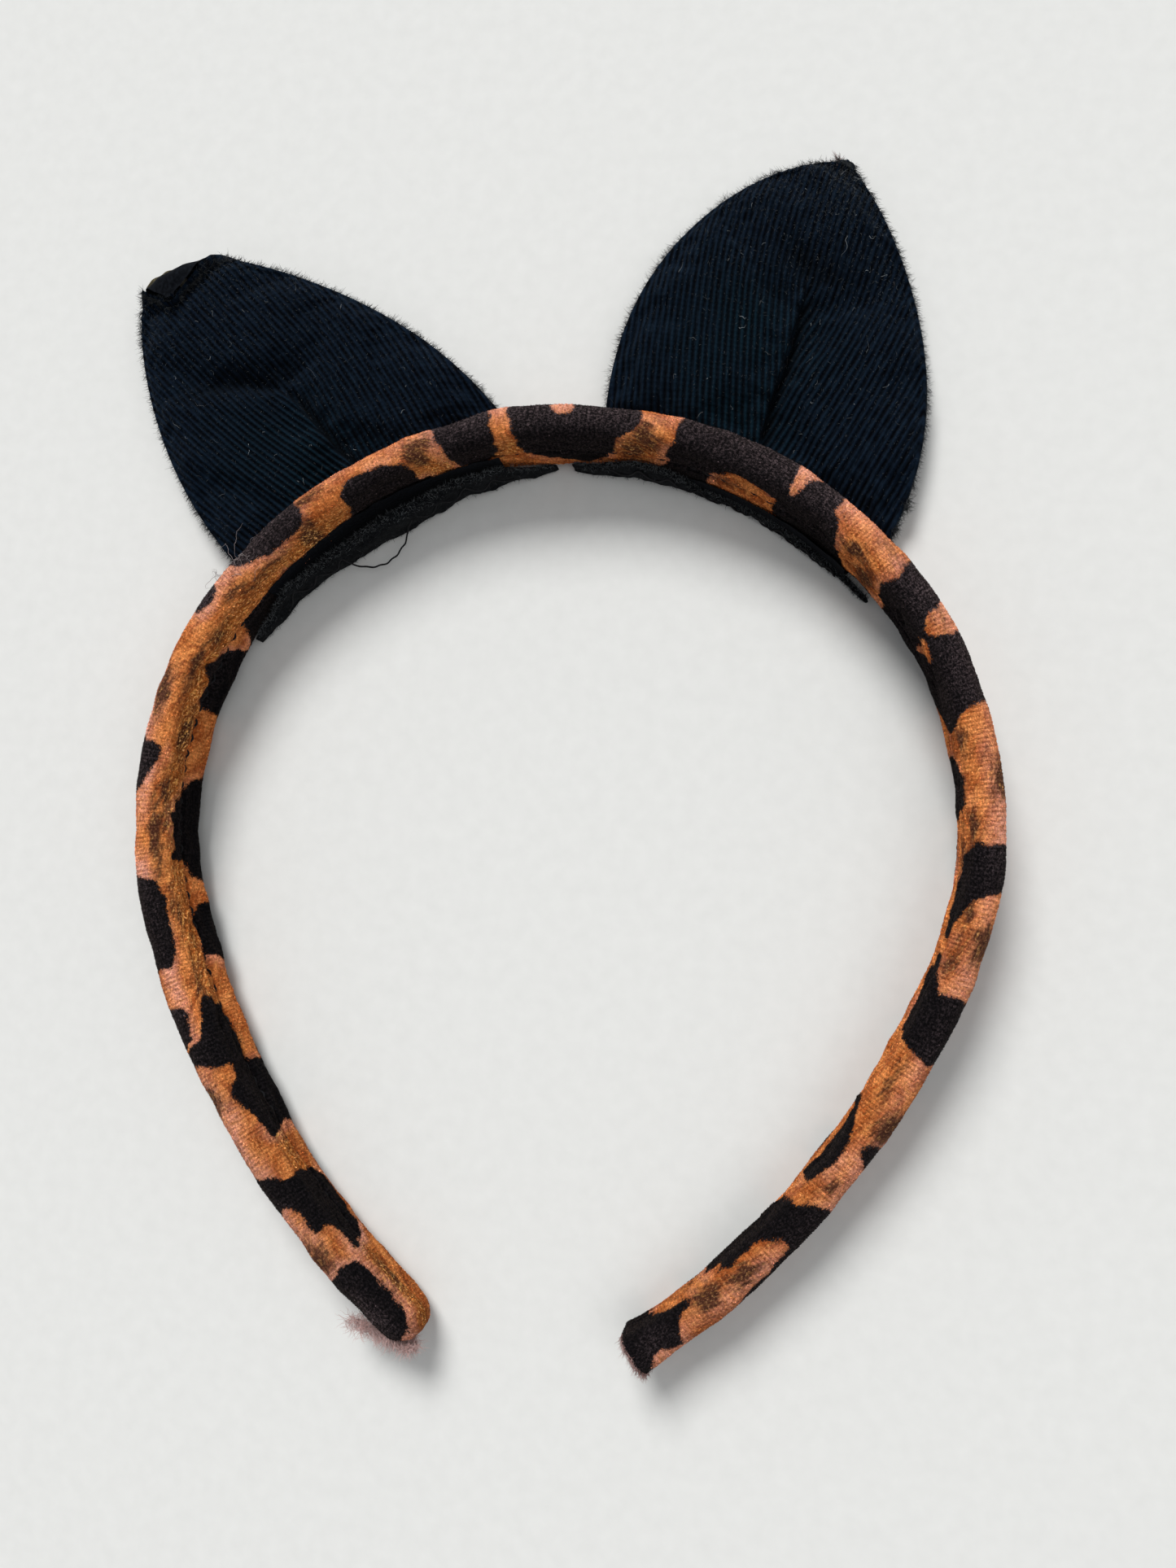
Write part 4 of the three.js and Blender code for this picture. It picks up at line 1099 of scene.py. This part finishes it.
def ear_relief(side, u, v):
    """The dart: one side of the cloth folds under the other, and the cloth dips and rays out from its end."""
    waves = Noise(seed_for(side, 41))
    top, is_left = DART_TOP[side], side == "left"
    relief = 0.25 * waves(u / 11 + 3, v / 9) + 0.1 * waves(u / 4, v / 5 + 8)
    below = smooth(top + 1.5 - v, 0, 6)
    fold = u - DART_ACROSS - 0.35 * waves(v / 8, 3)
    crease = np.where(fold > 0, hump(fold, 0, 1.5), hump(fold, 0, 0.22))
    relief = relief - 1.15 * below * crease + 0.55 * below * hump(fold, -1.0, 1.3)
    hollow = hump(u, -0.5, 4.5) * hump(v, top + 2.6, 2.3)
    relief = relief - (0.9 if is_left else 0.5) * hollow
    if is_left:
        trough = hump(u, -7.0, 6.5) * hump(v + 0.15 * u, top + 4.5, 1.9)
        relief = relief - 0.8 * trough
        hollow = np.maximum(hollow, trough)
    reach = np.hypot(u, v - top) / (9 if is_left else 7)
    rays = np.sin(4.0 * np.arctan2(u, v - top + 0.01) + 0.9) * np.minimum(reach * 2, 1) * np.exp(-reach)
    # How much painted shade each place gets: in the crease, the hollows and between the rays.
    crease_shade = np.maximum(below * crease, 0.6 * hollow) + 0.35 * np.clip(-rays, 0, 1)
    return relief + (0.5 if is_left else 0.3) * rays, np.clip(crease_shade, 0, 1)


def drape(side):
    """Settles the front panel over its padding with a cloth simulation, held at its seams and along its dart.

    Gives the cloth's heights over a grid, in millimetres. The simulation works at ten times real size.
    """
    rows, columns, scale = DRAPE["rows"], DRAPE["columns"], DRAPE["scale"]
    ear = EARS[side]
    T, A = shares(rows, columns)
    u, v, _ = on_leaf(ear, T, A)
    on_dart = (np.abs(u - DART_ACROSS) < ear["half"] * 1.2 / columns) & (v < DART_TOP[side])
    held = (np.abs(A) > 0.999) | (T < 0.001) | (T > 0.999) | on_dart
    mesh = bpy.data.meshes.new("drape")
    quads, _ = grid_faces(rows, columns)
    heights = np.where(on_dart, -0.1, 0.15 * Noise(44)(u / 6, v / 6) * ~held)
    points = np.stack([u, v, heights], -1).reshape(-1, 3) * scale
    mesh.from_pydata(points.tolist(), [], quads.tolist())
    cloth = bpy.data.objects.new("drape", mesh)
    bpy.context.scene.collection.objects.link(cloth)
    group = cloth.vertex_groups.new(name="held")
    group.add(np.flatnonzero(held.ravel()).tolist(), 1.0, "REPLACE")
    solver = cloth.modifiers.new("cloth", "CLOTH")
    solver.settings.vertex_group_mass = "held"
    solver.settings.quality = 6
    solver.settings.mass = 0.15
    solver.settings.shrink_min = -DRAPE["slack"]
    solver.settings.bending_stiffness = 0.6
    solver.settings.air_damping = 4.0
    solver.settings.use_pressure = True
    solver.settings.uniform_pressure_force = 1.2
    solver.settings.effector_weights.gravity = 0.0
    solver.point_cache.frame_start = 1
    solver.point_cache.frame_end = DRAPE["frames"]
    scene = bpy.context.scene
    for number in range(1, DRAPE["frames"] + 1):
        scene.frame_set(number)
    settled = cloth.evaluated_get(bpy.context.evaluated_depsgraph_get())
    where = np.array([vertex.co[:] for vertex in settled.data.vertices]) / scale
    scene.frame_set(1)
    bpy.data.objects.remove(cloth)
    bpy.data.meshes.remove(mesh)
    return np.clip(where[:, 2].reshape(rows, columns), -1.2, 1.8)


def sampled(table, T, A):
    """A grid of heights read between its points."""
    i = np.clip(T, 0, 1) * (table.shape[0] - 1)
    j = (np.clip(A, -1, 1) + 1) / 2 * (table.shape[1] - 1)
    i0, j0 = np.minimum(i.astype(int), table.shape[0] - 2), np.minimum(j.astype(int), table.shape[1] - 2)
    fi, fj = (f * f * (3 - 2 * f) for f in (i - i0, j - j0))
    low, high = (lerp(table[i, j0], table[i, j0 + 1], fj) for i in (i0, i0 + 1))
    return lerp(low, high, fi)


def front_surface(side, T, A, heights):
    """Points of the front panel's face at shares T up the ear and A across it, with their rib places."""
    ear = EARS[side]
    u, v, half = on_leaf(ear, np.clip(T, 0, 1), A, inset=0.4)
    v = np.where(T < 0, T * ear["height"], v)
    _, _, full_half = on_leaf(ear, np.clip(T, 0, 1), A)
    thickness = ear_thickness(ear, v, full_half, A)
    kx, ky = knit_place(side, u, v)
    to_side = (1 - np.abs(A)) * half
    rib = np.abs(np.cos(math.pi * kx / RIB_PITCH)) ** 0.8
    away = smooth(to_side, 0, 5) * smooth(v, -0.5, 4) * smooth(ear["height"] - v, 0, 5)
    relief, crease_shade = ear_relief(side, u, v)
    z = EAR_STACK / 2 + thickness / 2 + relief * away + sampled(heights, T, A)
    z = z + 0.27 * rib * (0.35 + 0.65 * smooth(to_side, 0.0, 0.8))
    z = lerp(z, 0.95, smooth(-v, -2.6, 1.4))
    return ear_surface(ear, u, v, z), u, v, kx, ky, crease_shade * away


def rolled_under(edge, inner, share):
    """A row of points at a share of the way round a rolled edge, from the edge's row and one further in."""
    drop, angle = EDGE_THICKNESS / 2 + 0.1, share * ROLL_TURN
    row = edge.copy()
    row[:, :2] += 0.8 * drop * math.sin(angle) * unit(edge[:, :2] - inner[:, :2])
    row[:, 2] -= drop * (1 - math.cos(angle))
    return row


def make_front_cloth(side):
    """The ear's front panel of rib knit. Its edge rolls under to the sewn seam."""
    rows, columns, roll, back = 280, 300, 7, 8
    heights = drape(side)
    turns = np.linspace(0, 1, roll + 1)[1:]
    along = np.concatenate([np.linspace(-0.03, 1, rows), np.ones(roll)])
    across = np.concatenate([-np.ones(roll), np.linspace(-1, 1, columns), np.ones(roll)])
    T, A = grid(along, across)
    points, u, v, kx, ky, crease_shade = front_surface(side, T, A, heights)
    left, right, top = roll, roll + columns - 1, rows - 1
    for k, turn in enumerate(turns, 1):
        points[:, left - k] = rolled_under(points[:, left], points[:, left + back], turn)
        points[:, right + k] = rolled_under(points[:, right], points[:, right - back], turn)
    for k, turn in enumerate(turns, 1):
        points[top + k] = rolled_under(points[top], points[top - back], turn)
    points = curled(points, side)
    points[..., 2] = np.maximum(points[..., 2], 0.3)
    quads, places = grid_faces(len(along), len(across))
    # Where painted sheen goes: the cloth left of the dart, below its top.
    painted_sheen = smooth(DART_TOP[side] + 4 - v, 0, 14) * hump(u, -5, 11)
    fields = {"knit": flat_places(kx, ky), "painted_sheen": painted_sheen.ravel(), "crease_shade": crease_shade.ravel()}
    piece = make_piece(f"ear_{side}_front_cloth", points, [quads], knit, [places[..., ::-1]], fields)
    bend_with_ear(piece, side)
    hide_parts(f"ear_{side}_front_panel")
    make_ear_fuzz(side, heights)
    return piece


def make_ear_fuzz(side, heights):
    """Fibres that stand out of the knit at its edge and over its face, and scraps of pale lint."""
    rng = np.random.default_rng(seed_for(side, 45))
    edge, face, n = EAR_FUZZ["edge"], EAR_FUZZ["face"], EAR_FUZZ["lint"]
    T = np.concatenate([rng.random(edge), rng.random(face) ** 0.8])
    A = np.concatenate([rng.choice([-1.0, 1.0], edge), rng.uniform(-0.99, 0.99, face)])
    length = np.concatenate([rng.uniform(0.4, 1.25, edge), rng.uniform(0.25, 0.6, face)])
    length = length + rng.exponential(0.12, len(length))
    tone = np.concatenate([rng.uniform(0.0, 0.16, edge), rng.uniform(0.03, 0.3, face)])
    at_edge = np.abs(A) == 1
    roots, here = (front_surface(side, T, A * k, heights)[0] for k in (0.999, 0.97))
    outward = unit(roots - here)
    aim = np.where(at_edge[:, None], outward, 0.0) + rng.normal(0, 0.45, (len(T), 3))
    aim[:, 2] = np.where(at_edge, rng.uniform(-0.9, 0.5, len(T)), rng.uniform(0.4, 1.2, len(T)))
    roots[:, 2] -= np.where(at_edge, rng.uniform(0.0, 0.9, len(T)), 0.1)
    roots += np.where(at_edge, 0.45, 0.0)[:, None] * outward
    paths = curled(wander(rng, roots, aim, length[:, None], 2, 0.3), side)
    nap = strands(f"ear_{side}_nap", paths, FIBRE_RADII["nap"], tone, 0 * tone)
    T, A = rng.uniform(0.03, 0.93, n), rng.uniform(-0.9, 0.9, n)
    roots = front_surface(side, T, A, heights)[0] + (0, 0, 0.12)
    aim = rng.normal(0, 1, (n, 3)) * (1, 1, 0.12)
    size = rng.uniform(0.4, 1.2, (n, 1)) + rng.exponential(0.7, (n, 1))
    paths = curled(wander(rng, roots, aim, size, 8, 0.45), side)
    lint = strands(f"ear_{side}_lint", paths, FIBRE_RADII["lint"], rng.uniform(0.25, 0.7, n), np.zeros(n))
    for piece in (nap, lint):
        bend_with_ear(piece, side)


def make_frays():
    """Small tufts of loose fibres at the ears' edges."""
    for number, (name, (side, up, across, length, count, tone, blush)) in enumerate(FRAYS.items(), 70):
        rng = np.random.default_rng(number)
        level = np.zeros((DRAPE["rows"], DRAPE["columns"]))
        T, A = np.clip(up + rng.normal(0, 0.006, count), 0, 1), np.full(count, across)
        roots, here = (front_surface(side, T, A * k, level)[0] for k in (0.999, 0.8))
        aim = unit(roots - here) + rng.normal(0, 0.3, (count, 3))
        roots = roots - (0, 0, 0.5)
        paths = curled(wander(rng, roots, aim, length * rng.uniform(0.25, 1.0, (count, 1)), 7, 0.35), side)
        tones = rng.uniform(0.3, 1.7, count) * tone
        fray = strands(name, paths, FIBRE_RADII["fray"], tones, np.full(count, blush))
        bend_with_ear(fray, side)


def make_stray_hairs():
    """Pale curly hairs caught where the left ear meets the band."""
    rng = np.random.default_rng(80)
    count = STRAY_HAIRS["number"]
    station, girth = rng.uniform(*STRAY_HAIRS["stations"], count), rng.uniform(*STRAY_HAIRS["girths"], count)
    roots = sleeve_points(station, girth, "left")
    aim = rng.normal(0, 1, (count, 3)) * (1, 1, 0.25) + (0, 0, 0.25)
    paths = wander(rng, roots, aim, STRAY_HAIRS["length"] * rng.uniform(0.4, 1.0, (count, 1)), 26, 0.36)
    paths[..., 2] = np.minimum(paths[..., 2], roots[:, None, 2] + 0.7)
    tone, blush = rng.uniform(0.3, 0.75, count), np.full(count, 0.25)
    hairs = strands("sleeve_stray_hairs", paths, FIBRE_RADII["hair"], tone, blush)
    bend_with_arm(hairs)


def make_tip_lining():
    """A scrap of the mesh lining that shows beyond the left ear's curled tip."""
    start, across, onward = curl_start()
    rows, columns = 26, 12
    along, out = grid(np.linspace(-1, 1, rows), np.linspace(0, 1, columns))
    arc = 1.3 * np.sqrt(np.clip(1 - along**2, 0, 1))
    away = CURL["radius"] + 0.7 + arc * out
    rise = 0.9 + 1.5 * out * (1 - 0.4 * out) + 0.15 * np.sin(9 * along)
    lower = start + (along * 3.9 - 2.6)[..., None] * across + away[..., None] * onward
    lower[..., 2] += rise
    upper = lower + (0, 0, 0.22)
    quads, places = grid_faces(rows, columns)
    points, faces, corners = closed_sheet(lower, upper, quads, places)
    cloth = np.tile(flat_places(4 * along, 2 * out), (2, 1))
    piece = make_piece("ear_left_tip_lining", points, faces, mesh_lining, corners, {"cloth": cloth})
    bend_with_ear(piece, "left")


def make_back_cloth(side):
    """The ear's back panel, which runs on as the tab, under the back edge and up the inner face."""
    ear = EARS[side]
    rows, columns = 120, 130
    T, A = shares(rows, columns)
    u, v, half = on_leaf(ear, T, A, inset=0.7, shorter=0.4)
    _, _, full_half = on_leaf(ear, T, A)
    thickness = ear_thickness(ear, v, full_half, A)
    waves = Noise(51)
    z = EAR_STACK / 2 - thickness / 2 + 0.12 * waves(u / 5, v / 6) * smooth((1 - np.abs(A)) * half, 0, 4)
    leaf = curled(ear_surface(ear, u, v, np.maximum(z, 0.05)), side)
    run = np.linspace(0, 1, 41)[1:]
    profile = np.array([(FACE + EAR_GAP, 0.12), (FACE + 0.2, 0.06), (1.4, 0.08), (-1.4, 0.08),
                        (-FACE + 0.1, 0.1), (-FACE - 0.4, 0.5), (-FACE - 0.6, 1.6), (-FACE - 0.6, 3.5),
                        (-FACE - 0.5, 6.0), (-FACE - 0.4, TAB_RISES["left"])])
    profile[:, 1] *= TAB_RISES[side] / TAB_RISES["left"]
    lengths = np.concatenate([[0], np.cumsum(np.linalg.norm(np.diff(profile, axis=0), axis=1))])
    offset, height = (np.interp(run * lengths[-1], lengths, profile[:, k]) for k in (0, 1))
    middle = station_at(ear["heading"])
    taper = EAR_GRIP * ear["half"] - TAB_INSET * smooth(run, 0, 0.2)
    station = middle + np.linspace(-1, 1, columns)[None, :] * taper[:, None]
    ragged = 0.35 * Noise(52)(station / 2.2, run[:, None] * 2) * smooth(run, 0.8, 1)[:, None]
    tab = band_point(station, offset[:, None], height[:, None] + ragged)
    points = np.concatenate([tab[::-1], leaf])
    down = np.repeat(-run[::-1, None] * lengths[-1], columns, 1)
    cloth = flat_places(np.concatenate([station[::-1] - middle, u]), np.concatenate([down, v]))
    quads, places = grid_faces(points.shape[0], columns)
    places, fields = [places[..., ::-1]], {"cloth": cloth}
    piece = make_piece(f"ear_{side}_back_cloth", points, [quads], back_knit, places, fields, flip=True)
    bend_with_ear(piece, side)
    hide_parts(f"ear_{side}_back_panel", f"ear_{side}_tab")
    return piece


def back_cut(side):
    """Width, length and area of the back cloth before it's folded, in metres."""
    ear = EARS[side]
    width, high = leaf_at(ear, np.linspace(0, 1, 100), 1.0)
    leaf = 2 * ear["half"] * ear["height"] * float(np.sum((width[1:] + width[:-1]) / 2 * np.diff(high)))
    tab = 2 * FACE + EAR_GAP + TAB_RISES[side]
    across = 2 * ear["half"]
    area = leaf + EAR_GRIP * across * tab
    return across * MM, (ear["height"] + tab) * MM, area * MM * MM


def make_stiffener(side):
    """A leaf of interfacing felt between the panels."""
    ear = EARS[side]
    rows, columns = 50, 44
    u, v, _ = on_leaf(ear, *shares(rows, columns), inset=STIFFENER_INSET, shorter=1.8 * STIFFENER_INSET + 1.0)
    v = v + 1.0
    levels = (np.full_like(u, EAR_STACK / 2 + h) for h in (-1.0, -0.5))
    layers = [curled(ear_surface(ear, u, v, level), side) for level in levels]
    quads, places = grid_faces(rows, columns)
    points, faces, corners = closed_sheet(*layers, quads, places)
    fields = {"cloth": np.tile(flat_places(u, v), (2, 1))}
    piece = make_piece(f"ear_{side}_stiffener_felt", points, faces, felt, corners, fields, flip=True)
    bend_with_ear(piece, side)
    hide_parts(f"ear_{side}_stiffener")


def closed_sheet(lower, upper, quads, places):
    """Two grids of points and the strip of faces round their border, as one closed body."""
    rows, columns = lower.shape[:2]
    count = rows * columns
    ring = np.concatenate([
        np.arange(columns - 1),
        columns - 1 + columns * np.arange(rows - 1),
        count - 1 - np.arange(columns - 1),
        columns * (rows - 1 - np.arange(rows - 1)),
    ])
    nxt = np.roll(ring, -1)
    border = np.stack([ring, nxt, nxt + count, ring + count], -1)
    points = np.concatenate([lower.reshape(-1, 3), upper.reshape(-1, 3)])
    half = np.array([0.5, 1.0])
    corners = [places * half, places[:, ::-1] * half + (0.5, 0), np.full((len(border), 4, 2), 0.5)]
    return points, [quads, quads[:, ::-1] + count, border[:, ::-1]], corners


def make_ear_threads(side):
    """The edge seam's thread between the panels, and the dart's stitches on the front."""
    ear, inset = EARS[side], EDGE_SEAM_INSET
    along = np.linspace(0.06, 0.93, 60)
    sides = []
    for k in (-1, 1):
        width, high = leaf_at(ear, along, k)
        half, v = width * (ear["half"] - inset), high * (ear["height"] - 1.8 * inset)
        sides.append(ear_surface(ear, k * half, v, np.full_like(v, EAR_STACK / 2)))
    path = curled(np.concatenate([sides[0], sides[1][::-1]]), side)
    edge = sewn(f"ear_{side}_edge_stitching", path, THREAD_RADII["edge"])
    v = np.linspace(2.0, DART_TOP[side], 160)
    u = DART_ACROSS + 0.12 * np.sin(2 * math.pi * v / 2.4)
    z = EAR_STACK / 2 + FULL_THICKNESS / 2 + ear_relief(side, u, v)[0] * smooth(v, -0.5, 4) - 0.3
    dart = sewn(f"ear_{side}_dart_stitching", ear_surface(ear, u, v, z), THREAD_RADII["dart"])
    for piece, node in ((edge, "edge"), (dart, "dart")):
        bend_with_ear(piece, side)
        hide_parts(f"ear_{side}_{node}_thread")


def ribbon_shape(side, share):
    """Station, back offset, foot and top of the ribbon at each share of its length."""
    ear, ribbon = EARS[side], RIBBONS[side]
    middle, tab_half = station_at(ear["heading"]), ear["half"] - TAB_INSET
    half = ear["half"] + ribbon["past"]
    station = lerp(middle - half, middle + half, share)
    from_middle = np.abs(station - middle)
    on_tab = 1 - smooth(from_middle, tab_half + 0.5, half)
    gape = ribbon["gape"] * (1 - smooth(from_middle, 0, tab_half))
    back = lerp(-(FACE + 0.15), -(FACE + ribbon["proud"]), on_tab) - gape
    wave = Noise(seed_for(side, 61))
    full = lerp(2.4, 6.2, smooth(half - from_middle, 0, 12)) * (1 - ribbon["tuck"] * smooth(station, 14, 22))
    top = 0.4 + full + 0.45 * wave(station / 6, 2)
    top = top + 0.8 * hump(share, ribbon["bump"], 0.05) * (side == "left")
    foot = 0.35 + 0.25 * (1 + wave(station / 3, 9))
    return station, back + 0.25 * wave(station / 5, 5), foot, top


def make_ribbon(side):
    """The ribbon over the tab's raw end, with a rolled fuzzy edge."""
    rows, round_it = 260, 40
    share = np.linspace(0, 1, rows)
    station, back, foot, top = ribbon_shape(side, share)
    angle = np.arange(round_it) / round_it * 2 * math.pi
    thick = RIBBON_THICKNESS / 2 + 0.3 * np.clip(-back - FACE - RIBBONS[side]["proud"], 0, None)[:, None]
    c, s = np.cos(angle), np.sin(angle)
    across = np.sign(c) * np.abs(c) ** 0.7
    upward = np.sign(s) * np.abs(s) ** 0.5
    grain = Noise(63)
    swell = 1 + 0.25 * smooth(upward, 0.75, 1.0)
    end = np.sqrt(np.clip(1 - (np.abs(2 * share - 1)) ** 24, 0.02, 1))
    offset = back[:, None] - RIBBON_THICKNESS / 2 + 0.7 * thick - 0.3
    offset = offset + thick * end[:, None] * (across * swell)[None, :]
    S, U = grid(station, upward)
    crumple = 0.22 * grain(S / 2.4, 3 * U) + 0.1 * grain(S / 0.9, 6 * U)
    offset = offset + crumple * smooth(-across, -0.2, 0.8)[None, :]
    middle, half = (foot + top) / 2, (top - foot) / 2
    rise = half[:, None] * upward[None, :]
    z = middle[:, None] + rise + 0.12 * grain(S / 0.8, 2 * U + 20)
    points = band_point(S, offset, np.maximum(z, 0.15))
    faces, places = tube_faces(rows, round_it)
    cloth = np.stack(np.broadcast_arrays(S, rise, across[None, :]), -1).reshape(-1, 3)
    piece = make_piece(f"ear_{side}_ribbon_cloth", points, faces, ribbon_cloth, places, {"cloth": cloth})
    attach(piece, "crown")
    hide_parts(f"ear_{side}_ribbon")
    make_ribbon_stitches(side)
    make_ribbon_nap(side, points)


def make_ribbon_nap(side, points):
    """Grey fibres along the ribbon's worn edges."""
    rng = np.random.default_rng(seed_for(side, 64))
    rows, round_it = points.shape[:2]
    count = RIBBON_FUZZ
    row = rng.integers(2, rows - 2, count)
    column = (round_it / 4 + rng.normal(0, round_it / 14, count)).round().astype(int) % round_it
    stray = rng.random(count) < 0.35
    column = np.where(stray, rng.integers(0, round_it, count), column)
    roots = points[row, column]
    aim = unit(roots - points[row].mean(1)) + rng.normal(0, 0.6, (count, 3))
    paths = wander(rng, roots, aim, rng.uniform(0.3, 0.9, (count, 1)), 3, 0.3)
    tone = rng.uniform(0.05, 0.45, count) * np.where(stray, 0.5, 1.0)
    nap = strands(f"ear_{side}_ribbon_nap", paths, FIBRE_RADII["ribbon"], tone, np.zeros(count))
    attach(nap, "crown")


def make_ribbon_stitches(side):
    """Hand stitches in a zigzag over the ribbon. On the left one loop hangs loose."""
    share = np.linspace(0.12, 0.88, 700)
    station, back, foot, top = ribbon_shape(side, share)
    middle = (foot + top) / 2
    phase = 2 * math.pi * station / RIBBON_STITCH
    z = middle + 1.1 * np.sin(phase)
    proud = RIBBON_THICKNESS + 0.1 + 0.1 * np.cos(2 * phase)
    if side == "left":
        start, end, out = LOOSE_LOOP
        loop = np.sin(math.pi * np.clip((share - start) / (end - start), 0, 1)).clip(0)
        proud = proud + out * loop**0.8
        z = lerp(z, 1.4 + 0.8 * share, smooth(loop, 0, 0.5))
    points = band_point(station, back - proud, np.maximum(z, 0.3))
    piece = sewn(f"ear_{side}_ribbon_stitching", points, THREAD_RADII["ribbon"])
    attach(piece, "crown")
    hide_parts(f"ear_{side}_ribbon_thread")


# ---- Floor and light ----


def make_stage():
    """A plain pale floor, and soft light from above and from the crown's side."""
    bpy.ops.mesh.primitive_plane_add(size=60, location=(0, 0, -0.0001))
    floor = bpy.context.object
    floor.name = "floor"
    shade = Shade("floor", 0.9, specular=0.1)
    position = shade.node("ShaderNodeTexCoord", {}).outputs["Object"]
    grain = shade.noise(position, 400.0, 2.0)
    floor.data.materials.append(shade.finish(shade.mix(grain, srgb(196, 196, 193), srgb(204, 204, 201))))
    world = bpy.data.worlds.new("room")
    world.use_nodes = True
    background = world.node_tree.nodes["Background"]
    background.inputs["Color"].default_value = (0.86, 0.88, 0.92, 1)
    background.inputs["Strength"].default_value = 0.42
    bpy.context.scene.world = world
    for name, (place, spread, strength) in LIGHTS.items():
        data = bpy.data.lights.new(name, "SUN")
        data.angle = math.radians(spread)
        data.energy = strength
        light = bpy.data.objects.new(name, data)
        light.location = place
        light.rotation_euler = (-Vector(place)).to_track_quat("-Z", "Y").to_euler()
        bpy.context.scene.collection.objects.link(light)
    bpy.context.scene.view_settings.view_transform = "Standard"


make_stage()
for arm in ("left", "right"):
    make_sleeve(arm)
    make_strip(arm)
    make_seam_thread(arm)
for ear_side in ("left", "right"):
    make_front_cloth(ear_side)
    back = make_back_cloth(ear_side)
    width, length, area = back_cut(ear_side)
    make_stiffener(ear_side)
    make_ear_threads(ear_side)
    make_ribbon(ear_side)
make_tip_lining()
make_frays()
make_stray_hairs()
make_wisp()
